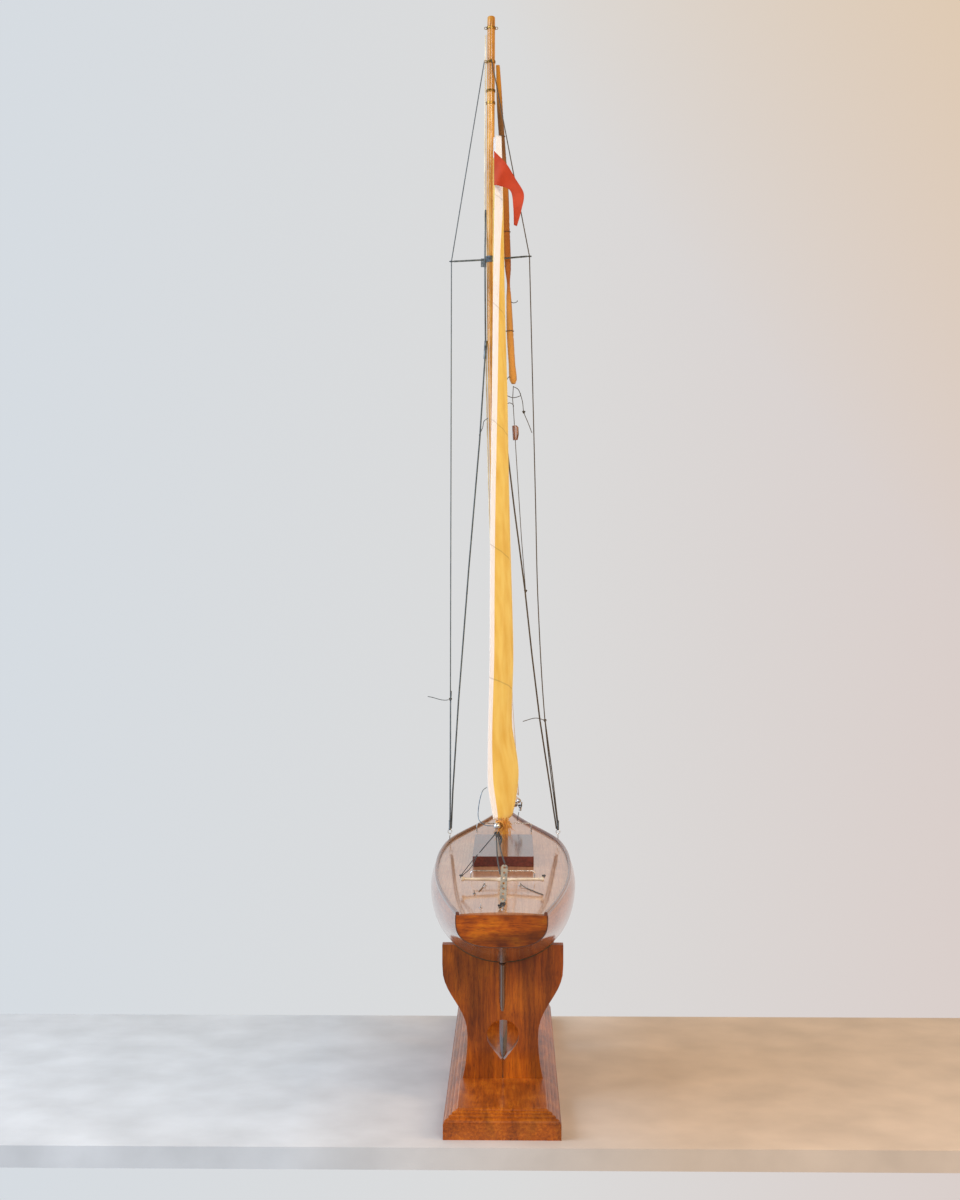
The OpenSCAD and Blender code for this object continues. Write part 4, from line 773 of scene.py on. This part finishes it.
# ---- Furled light sail ----
# A tan cotton sail rolled up along the mast's starboard side and tied with twine gaskets. Its line runs down
# through a wooden bowsie, which slides to tighten it, and a loose loop hangs from its foot.
# each row is [share of the mast's height, offset from the mast to starboard, radius of the roll]
FURLED = [[.9431, 11.2, 3.2], [.8983, 14.3, 4.8], [.8565, 18.1, 4.9], [.7949, 24.1, 5.4], [.7399, 26.4, 5.8],
          [.6966, 28.6, 5], [.6768, 29.4, 2.6], [.6599, 29.7, 4], [.6188, 31, 5.6], [.5792, 33.3, 5.6],
          [.5601, 34.9, 6.2], [.5543, 35.4, 3]]
FURLED_AHEAD = 13.2
furled_y = MAST_Y + FURLED_AHEAD
roll_z = np.linspace(.9431, .5545, 240)[:, None]
order = np.array(FURLED)[::-1]
roll_x = smooth(order[:, [0, 1]], roll_z)
roll_r = smooth(order[:, [0, 2]], roll_z)
turns = np.linspace(0, 2.6 * 2 * math.pi, 130)[None]
crease = .35 * np.sin(3 * turns + 90 * roll_z) + .3 * np.sin(7 * turns + 25 * np.sin(60 * roll_z))
radius = roll_r * (1 - .26 * turns / turns.max()) + np.minimum(crease * roll_r / 6, 0)
roll = np.stack([mast_x(up(roll_z)) + roll_x + radius * np.cos(turns), furled_y + radius * np.sin(turns),
                 up(roll_z) + 0 * turns], -1)


def sheet_piece(name, grid, thickness=.35, uv=None):
    """One sheet of cloth from a grid of points, given its thickness evenly to both sides."""
    cloth = piece(name, grid, grid_faces(*grid.shape[:2]), uv, 180)
    thick = cloth.modifiers.new("thickness", "SOLIDIFY")
    thick.thickness, thick.offset = thickness * MM, 0
    return cloth


def canvas(name, dark, light, thread=.0012):
    """Plain-woven cotton: two sets of threads across each other, soft stains, and a matt surface.
    The real threads are 0.4 mm apart; they are drawn coarser so that they show."""
    made = material(name, Roughness=.85, Sheen_Weight=.15)
    place = add(made, "UVMap").outputs[0]
    apart = add(made, "SeparateXYZ", {0: place})
    warp = add(made, "Math", {0: apart.outputs[0], 1: thread / 2}, operation="PINGPONG")
    weft = add(made, "Math", {0: apart.outputs[1], 1: thread / 2}, operation="PINGPONG")
    weave = add(made, "Math", {0: warp.outputs[0], 1: weft.outputs[0]}, operation="ADD")
    spot = add(made, "TexCoord").outputs["Object"]
    stain = add(made, "TexNoise", {"Vector": spot, "Scale": 1 / .05, "Detail": 5})
    tone = add(made, "ValToRGB", {"Fac": stain.outputs["Fac"]}, [(.3, linear(dark)), (.65, linear(light))])
    bump = add(made, "Bump", {"Height": weave.outputs[0], "Strength": .35, "Distance": .0006})
    return joined(made, Base_Color=tone.outputs["Color"], Normal=bump.outputs["Normal"])


def lit_through(made, part):
    """Lets a part of the light through the cloth, so that it glows where the window is behind it."""
    shader = made.node_tree.nodes["Principled BSDF"]
    glow = add(made, "BsdfTranslucent", {"Color": feeding(made, "Base Color")})
    both = add(made, "MixShader", {0: part, 1: shader.outputs[0], 2: glow.outputs[0]})
    made.node_tree.links.new(both.outputs[0], made.node_tree.nodes["Material Output"].inputs["Surface"])


# matt cotton, with painted light along its height: golden at the foot where the lamp shines through, and brown
# bands of painted shade further up where the roll lies thick
tan_cotton = canvas("tan_cotton", "#7A4616", "#C98A3A")
height = add(tan_cotton, "SeparateXYZ", {0: add(tan_cotton, "TexCoord").outputs["Object"]}).outputs[2]
# painted light by height: a golden foot and brown bands of painted shade higher up the roll
bands = add(tan_cotton, "MapRange", {"Value": height, "From Min": 1.05, "From Max": 1.65,
                                     "To Min": 0, "To Max": 1})
painted_shade_bands = add(tan_cotton, "ValToRGB", {"Fac": bands.outputs["Result"]},
           [(.0, linear("#DDA858")), (.3, linear("#D09848")), (.36, linear("#9A5210")),
            (.62, linear("#B06A1C")), (.72, linear("#6E4A26")), (.82, linear("#5E4022")), (.9, linear("#C88A20"))])
stained = feeding(tan_cotton, "Base Color")
both = add(tan_cotton, "Mix", {0: .8, 6: stained, 7: painted_shade_bands.outputs["Color"]}, data_type="RGBA")
joined(tan_cotton, Base_Color=both.outputs[2])
roll_uv = np.stack(np.broadcast_arrays(turns * 4.5 * MM, (up(roll_z)) * MM), -1)
furled = placed(sheet_piece("furled_sail_roll", roll, .3, roll_uv), "yacht", tan_cotton,
                ["furled_sail"])
twine = cord_finish("brown_twine", "#3A2616", "#7A5A38")
finish_nodes(twine, "gaskets")
# a small turned peg of reddish brown wood
bowsie_wood = varnished("brown_bowsie_wood", "#4A2A1C", "#7A4A34", "#94644A", (1, 1, .2), .003, .01)
finish_nodes(bowsie_wood, "bowsie")
foot = by_mast(.5543, 35.4, FURLED_AHEAD)
high = by_mast(.522, 34.8)
low = by_mast(.4655, 37.7)
fall_line = [foot - [0, 0, 3], lerp(foot, high, .6) + [-1.3, 0, 0], high, low,
             [across([.3664, .41], 1) + .3, MAST_Y, up(.3664)],
             [across(LOWER_STARBOARD[2], 1) + 1, MAST_Y, up(LOWER_STARBOARD[2][0])]]
LOOP = [[.5, -1.5, -4.5], [9, -4.7, -11], [15, -8.7, -30], [17.3, -12.7, -48], [24.3, -15.7, -66],
        [30.8, -16.7, -83]]
placed(rope("furled_sail_line_cord", fall_line, LINE), "yacht", olive_cord,
       ["furled_sail_line"])
placed(rope("furled_sail_loop_cord", route(foot + LOOP), LINE), "yacht", olive_cord)

# ---- Sails ----
# Hand-sewn cotton, gold from age and painted warm light, with paler tabling and a painted window highlight along
# the leech. The jib is thinner and paler.
# The mainsail is lashed to the boom's end at its clew, and the jib is spread by a small boom of its own.
# each row is [share of the sail's height, millimetres to starboard]
LEECH_X = [[0, -11.7], [.05, -19.4], [.22, -11.7], [.42, -3.1], [.62, 3.3], [.89, 8.2], [1, 9.1]]
DRAUGHT = [[0, 17], [.04, 30], [.1, 22], [.2, 25], [.3, 25], [.55, 23], [.75, 18], [.9, 15], [1, 11]]
SAIL_FOOT, SAIL_HEAD = 440, 1500


def sail(u, v):
    """The mainsail: straight lines from luff to leech at each height, bellied to starboard by a sine."""
    u, v = np.broadcast_arrays(np.asarray(u, float), np.asarray(v, float))
    z = SAIL_FOOT + (SAIL_HEAD - SAIL_FOOT) * v
    luff = np.stack([mast_x(z) + 5 * v, np.full(z.shape, PIN_Y), z], -1)
    aft = lerp(boom_end[1] + 14, PIN_Y - 13, v) - 20 * np.sin(math.pi * v)
    leech = np.stack([mast_x(z) + smooth(LEECH_X, v), aft, z - 3 * (1 - v)], -1)
    points = luff + (leech - luff) * u[..., None]
    points[..., 0] += smooth(DRAUGHT, v) * np.sin(math.pi * u ** .85)
    # the loose foot bags out and hangs a little below the boom towards its after end
    skirt = np.exp(-(v / .035) ** 2) * np.sin(math.pi * np.clip(u, 0, 1) ** 1.8)
    points[..., 0] += 8 * skirt
    points[..., 2] -= 15 * skirt
    return points


v_grid = np.linspace(0, 1, 240)[:, None]
u_grid = np.linspace(0, 1, 70)[None]
main_grid = sail(u_grid, v_grid)
slack = (.5 * np.sin(26 * v_grid * math.pi) * np.exp(-((u_grid / .06) ** 2))
         + .4 * np.sin(u_grid * 30 + v_grid * 9))
main_grid[..., 0] += slack * np.minimum(1, u_grid * 12) * np.minimum(1, (1 - u_grid) * 9)
chord = np.linalg.norm(main_grid[:, -1] - main_grid[:, 0], axis=1)[:, None]
# UV: metres from the leech, and metres up the sail
main_uv = np.stack(np.broadcast_arrays((1 - u_grid) * chord * MM, v_grid * 1.06), -1)
# yellowed matt cotton, its gold partly painted warm light, that glows gold when lit from behind
sailcloth = canvas("aged_sail_cotton_painted_warm_light", "#F2D468", "#FCE892")


def hem_and_highlight(made, pale, width, seam=None):
    """Paints a band of a colour and width along the leech, and stitched seams across the cloth at even heights.
    The mainsail's white band is paler tabling with a painted highlight of the window; the jib's is a tan hem.
    """
    apart = add(made, "SeparateXYZ", {0: add(made, "UVMap").outputs[0]})
    leech_band = add(made, "MapRange", {"Value": apart.outputs[0], "From Min": width, "From Max": width + .0015})
    colour = add(made, "Mix", {0: leech_band.outputs["Result"], 6: linear(pale), 7: feeding(made, "Base Color")},
                 data_type="RGBA")
    if seam:
        slant = add(made, "Math", {0: apart.outputs[0], 1: .12, 2: apart.outputs[1]},
                    operation="MULTIPLY_ADD")
        near = add(made, "Math", {0: slant.outputs[0], 1: seam / 2}, operation="PINGPONG")
        line = add(made, "MapRange", {"Value": near.outputs[0], "From Min": .0006, "From Max": .0012,
                                      "To Min": .8, "To Max": 1})
        colour = add(made, "Mix", {0: 1.0, 6: colour.outputs[2], 7: line.outputs["Result"]}, data_type="RGBA",
                     blend_type="MULTIPLY")
    return joined(made, Base_Color=colour.outputs[2])


# the white band along the leech is paler tabling and a painted highlight where the window lights it
hem_and_highlight(sailcloth, "#FFFFFF", .03, .19)
lit_through(sailcloth, .45)
main = placed(sheet_piece("mainsail_cloth", main_grid, .4, main_uv), "main_boom", sailcloth,
              ["mainsail"])

JIB_LEECH = [[0, 0], [.11, -.6], [.21, -1.2], [.36, 3.5], [.51, 6.3], [.63, 6.5], [1, 4.2]]
v_jib, u_jib = np.linspace(0, 1, 140)[:, None], np.linspace(0, 1, 40)[None]
jib_clear = np.stack([0 * v_jib, -3.6 - 1.7 * (1 - v_jib), 6 * (1 - v_jib)], -1)[:, 0]
jib_luff = lerp(tack, jib_head, v_jib) + jib_clear
jib_leech = lerp(jib_clew + [0, 6, 4], jib_head - [0, 9, 0], v_jib)
jib_leech[:, 0] += smooth(JIB_LEECH, v_jib[:, 0])
jib_grid = jib_luff[:, None] + (jib_leech - jib_luff)[:, None] * u_jib[..., None]
jib_grid[..., 0] += 5 * np.sin(math.pi * v_jib ** .8) * np.sin(math.pi * u_jib)
jib_chord = np.linalg.norm(jib_grid[:, -1] - jib_grid[:, 0], axis=1)[:, None]
jib_uv = np.stack(np.broadcast_arrays((1 - u_jib) * jib_chord * MM, v_jib * .82), -1)
# thin, nearly white cotton, with a narrow tan hem
jib_cotton = canvas("thin_pale_cotton", "#F0E6DA", "#FBF8F4")
hem_and_highlight(jib_cotton, "#D8B98C", .006, .16)
lit_through(jib_cotton, .45)
jib = placed(sheet_piece("jib_cloth", jib_grid, .3, jib_uv), "jib_boom", jib_cotton, ["jib"])

# ---- Pennant ----
# A strip of red bunting that tapers to its tail, sewn to the leech below the sail's head.
# It is folded over on itself, so that the tail hangs down.
PENNANT_TOP = [[0, 0, 56], [17, -3, 38], [34, 1, 12], [48, -2, -14], [44, -3, -41], [37, 0, -66]]
PENNANT_FOOT = [[0, 0, 0], [9, -5, -2], [19, -1, -4], [28, 1, -12], [31, 0, -36], [32, 1, -64]]
hoist = sail(1, .911) + [-1.6, -3.4, 0]
top_line, foot_line = route(PENNANT_TOP, 14), route(PENNANT_FOOT, 14)
v_flag = np.linspace(0, 1, 22)[None, :, None]
flag = hoist + top_line[:, None] * (1 - v_flag) + foot_line[:, None] * v_flag
wide = np.linalg.norm(top_line - foot_line, axis=1)[:, None]
step = np.arange(len(top_line))[:, None] * 3 / 14
flag[..., 1] += wide / 16 * np.sin(np.radians(200 * v_flag[..., 0] + 60 * step))
# thin scarlet cloth, a little darker where it is soiled, that lets some light through
bunting = canvas("red_bunting", "#A02C10", "#D24A24", .001)
lit_through(bunting, .2)
along = far_along(top_line)[:, None]
flag_uv = np.stack(np.broadcast_arrays(along * MM, v_flag[..., 0] * wide * MM), -1)
pennant = placed(sheet_piece("pennant_cloth", flag, .3, flag_uv), "main_boom", bunting,
                 ["pennant"])

# ---- Sheets, steering line and lashing ----
# Dark braided cord runs from the boom's end to the deck and to the yoke's port arm, knotted at each end.
# Amber twine lashes the mainsail's clew to the boom, and its cut ends are frayed.
dark_cord = cord_finish("dark_braided_cord", "#1E1F20", "#55595C")
sheet_top = boom_end + [0, 6, -10.6]
yoke_arm = np.array([-58.5, RUDDER_Y, yoke_z + 5.2])
sheet_ring = lerp(sheet_top, yoke_arm, .5) + [0, 0, 2]


def bending(line, node):
    """A dark cord from the yacht to a moving body: it stands for its solid, takes the dark cord finish, and its
    placement is baked into its mesh.
    """
    line.data.materials.append(dark_cord)
    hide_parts(node)
    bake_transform(line)


parts = {
    "main_sheet_fall_port": (route([sheet_top + [-1, 0, -1], [-6, STERN + 62, BOOM_Z - 37],
                                    [-2, STERN + 46, BOOM_Z - 57]]), 2.0, (1, 0, 0)),
    "main_sheet_fall_starboard": (route([sheet_top + [1, 0, -1], [-1, STERN + 74, BOOM_Z - 31],
                                         [4, STERN + 58, BOOM_Z - 44]]), 2.0, (1, 0, 0)),
    "main_sheet_lead": ([sheet_top + [-2, 2, -1.2], sheet_ring + [1, -1, 1.4]], 1.8, (0, 0, 1)),
    "main_sheet_tail": (route([sheet_top + [2.6, 2, -1.2], sheet_top + [6, 1, -8], sheet_top + [4, 0, -17]]),
                        3.0, (1, 0, 0))}
for name, (path, thick, side) in parts.items():
    bending(rope(name, path, thick, side, 4), "main_sheet")
for word, k in (("port", -1), ("starboard", 1)):
    path = [sheet_ring + [-1.6, 1, -1.6 - k * .2],
            lerp(sheet_ring, yoke_arm, .5) + [k * 1.4, 0, -2 - 1.6 * k], yoke_arm + [k, k, .1]]
    line = rope("steering_line_" + word, route(path), LINE, (0, 0, 1), 4)
    bending(line, "steering_line")
jib_sheet_foot = np.array([22, 234, float(deck_top(0, 235)) + 18])
jib_sheet_top = jib_clew + [0, 7, -23.8]
bending(rope("jib_sheet_cord", [jib_sheet_top, jib_sheet_foot], LINE, (1, 0, 0), 4), "jib_sheet")
for word, centre, size, body in (
        ("boom", sheet_top + [0, 1, -1.5], 6.5, "main_boom"),
        ("boom_under", sheet_top + [3.5, 3, -6], 5.5, "main_boom"),
        ("deck_eye", [1.5, -430, float(deck_top(0, -430)) + 6.5], 6.5, "yacht"),
        ("deck_eye_port", [-2.5, -427, float(deck_top(0, -427)) + 4], 5, "yacht"),
        ("yoke", yoke_arm + [0, 0, .3], 4.6, "rudder"),
        ("yoke_starboard", yoke_arm * [-1, 1, 1] + [0, 0, .3], 4.6, "rudder"),
        ("jib_clew", jib_clew + [2, 8, -14], 6, "jib_boom")):
    knot("sheet_knot_" + word, centre, size, body, dark_cord)
wire_path = route([sail(1, .04) + [-1.6, -1, 0], boom_end + [-20, 3, 46], boom_end + [-24.5, 1, 28],
                   boom_end + [-25, 0, 10], boom_end + [-17, -2, 1.5], boom_end + [-4.2, -2.6, 0]])
# spring steel with a blue heat tint
blued = metal("blued_spring_wire", "#3E5670", "#7E98B0", .3)
placed(tube("clew_wire_spring", stretched(wire_path, .8), .5, 10), "main_boom", blued,
       ["clew_wire"])

amber = cord_finish("amber_twine", "#A8640E", "#F0B040", .0004)
LASH_TURNS, FRAYED_ENDS = 9, 70
lash = np.linspace(0, 1, 260)
spin = lash * LASH_TURNS * 2 * math.pi
lash_path = np.stack([boom_end[0] + 3 + 5.6 * np.cos(spin), boom_end[1] + 4 + 18 * lash,
                      boom_end[2] - .6 + 5.4 * np.sin(spin)], 1)
placed(rope("clew_lashing", lash_path, 1.8, (0, 1, 0), 4, .6), "main_boom", amber,
       ["boom_lashing"])
dice = np.random.default_rng(7)
for k in range(FRAYED_ENDS):
    root = boom_end + [4 + dice.uniform(-6, 15), dice.uniform(2, 26), dice.uniform(-3, 9)]
    drop = dice.uniform(4, 22)
    lean = dice.uniform(-8, 9)
    hair = route([root, root + [lean * .3, dice.uniform(-2, 2), -drop * .5],
                  root + [lean, dice.uniform(-3, 3), -drop]], 6)
    frayed = tube(f"lashing_fray_{k:02d}", hair, np.linspace(.5, .2, len(hair)), 6, (0, 1, 0))
    placed(frayed, "main_boom", amber)

# ---- Floor and light ----
# A pale plaster shelf, which isn't part of the yacht, under a cool soft window to port, a weak warm lamp to
# starboard and a soft fill from behind the camera.
shelf = bpy.data.objects.new("floor", bpy.data.meshes.new("floor"))
corners = [(x, y, z) for z in (-.03, 0) for x, y in ((-2.2, -.384), (2.2, -.384), (2.2, .37), (-2.2, .37))]
shelf.data.from_pydata(corners, [], [(3, 2, 1, 0), (4, 5, 6, 7), (0, 1, 5, 4), (1, 2, 6, 5), (2, 3, 7, 6),
                                     (3, 0, 4, 7)])
bpy.context.scene.collection.objects.link(shelf)
# matt and softly mottled, with painted light tinting it cooler to port under the window and warmer to starboard
# under the lamp
plaster = material("pale_plaster", Roughness=.7)
spot = add(plaster, "TexCoord").outputs["Object"]
mottle = add(plaster, "TexNoise", {"Vector": spot, "Scale": 9, "Detail": 6})
grain = add(plaster, "ValToRGB", {"Fac": mottle.outputs["Fac"]},
            [(.3, linear("#E4E4E4")), (.7, linear("#FAFAFA"))])
sideways = add(plaster, "SeparateXYZ", {0: spot})
# painted light: the window's cool tint to port and the lamp's warm tint to starboard
port_to_starboard = add(plaster, "MapRange", {"Value": sideways.outputs[0], "From Min": -.5, "From Max": .5})
painted_lamp_tint = add(plaster, "ValToRGB", {"Fac": port_to_starboard.outputs["Result"]},
            [(.2, linear("#DCE6F0")), (.75, linear("#DDCCBA"))])
lamp_tinted = add(plaster, "Mix", {0: 1.0, 6: grain.outputs["Color"], 7: painted_lamp_tint.outputs["Color"]},
             data_type="RGBA", blend_type="MULTIPLY")
joined(plaster, Base_Color=lamp_tinted.outputs[2])
shelf.data.materials.append(plaster)


def soft_light(name, place, aim, size, power, colour):
    """A rectangular soft light at a place, turned to a point."""
    lamp = bpy.data.objects.new(name, bpy.data.lights.new(name, "AREA"))
    lamp.data.shape, lamp.data.size, lamp.data.size_y = "RECTANGLE", *size
    lamp.data.energy, lamp.data.color = power, linear(colour)[:3]
    lamp.location = place
    direction = np.array(aim, float) - np.array(place, float)
    yaw = math.atan2(direction[1], direction[0]) - math.pi / 2
    pitch = math.atan2(direction[2], math.hypot(direction[0], direction[1])) + math.pi / 2
    lamp.rotation_euler = (pitch, 0, yaw)
    bpy.context.scene.collection.objects.link(lamp)


soft_light("window", (-2.2, -1.0, 1.5), (0, 0, .8), (1.6, 2.4), 52, "#E4EEFF")
soft_light("lamp", (2.2, -1.2, 1.6), (0, 0, .8), (.8, 1.2), 20, "#FFC890")
soft_light("fill", (.9, -3.0, 2.0), (0, 0, .8), (1.4, 1.4), 46, "#FFF8F0")
world = bpy.data.worlds.new("studio")
world.use_nodes = True
# the room's walls: cool to port, warm to starboard and overhead there, and dimmer behind the camera
way = add(world, "SeparateXYZ", {0: add(world, "TexCoord").outputs["Generated"]})
abeam = add(world, "MapRange", {"Value": way.outputs[0], "From Min": -1, "From Max": 1})
wall = add(world, "ValToRGB", {"Fac": abeam.outputs["Result"]},
           [(.1, linear("#E2EAF4")), (.36, linear("#D6DCE2")), (.5, linear("#DBDBDB")),
            (.62, linear("#DACFCB")), (.9, linear("#C4ACA0"))])
corner = add(world, "Math", {0: way.outputs[0], 1: 1.2, 2: way.outputs[2]}, operation="MULTIPLY_ADD")
warmth = add(world, "MapRange", {"Value": corner.outputs[0], "From Min": .3, "From Max": .7,
                                 "To Max": .6})
tinted = add(world, "Mix", {0: warmth.outputs["Result"], 6: wall.outputs["Color"], 7: linear("#E6C48C")},
             data_type="RGBA")
depth = add(world, "MapRange", {"Value": way.outputs[1], "From Min": -.7, "From Max": .5,
                                "To Min": .6, "To Max": 1})
back = world.node_tree.nodes["Background"]
world.node_tree.links.new(tinted.outputs[2], back.inputs["Color"])
world.node_tree.links.new(depth.outputs["Result"], back.inputs["Strength"])
bpy.context.scene.world = world
bpy.context.scene.view_settings.view_transform = "Standard"
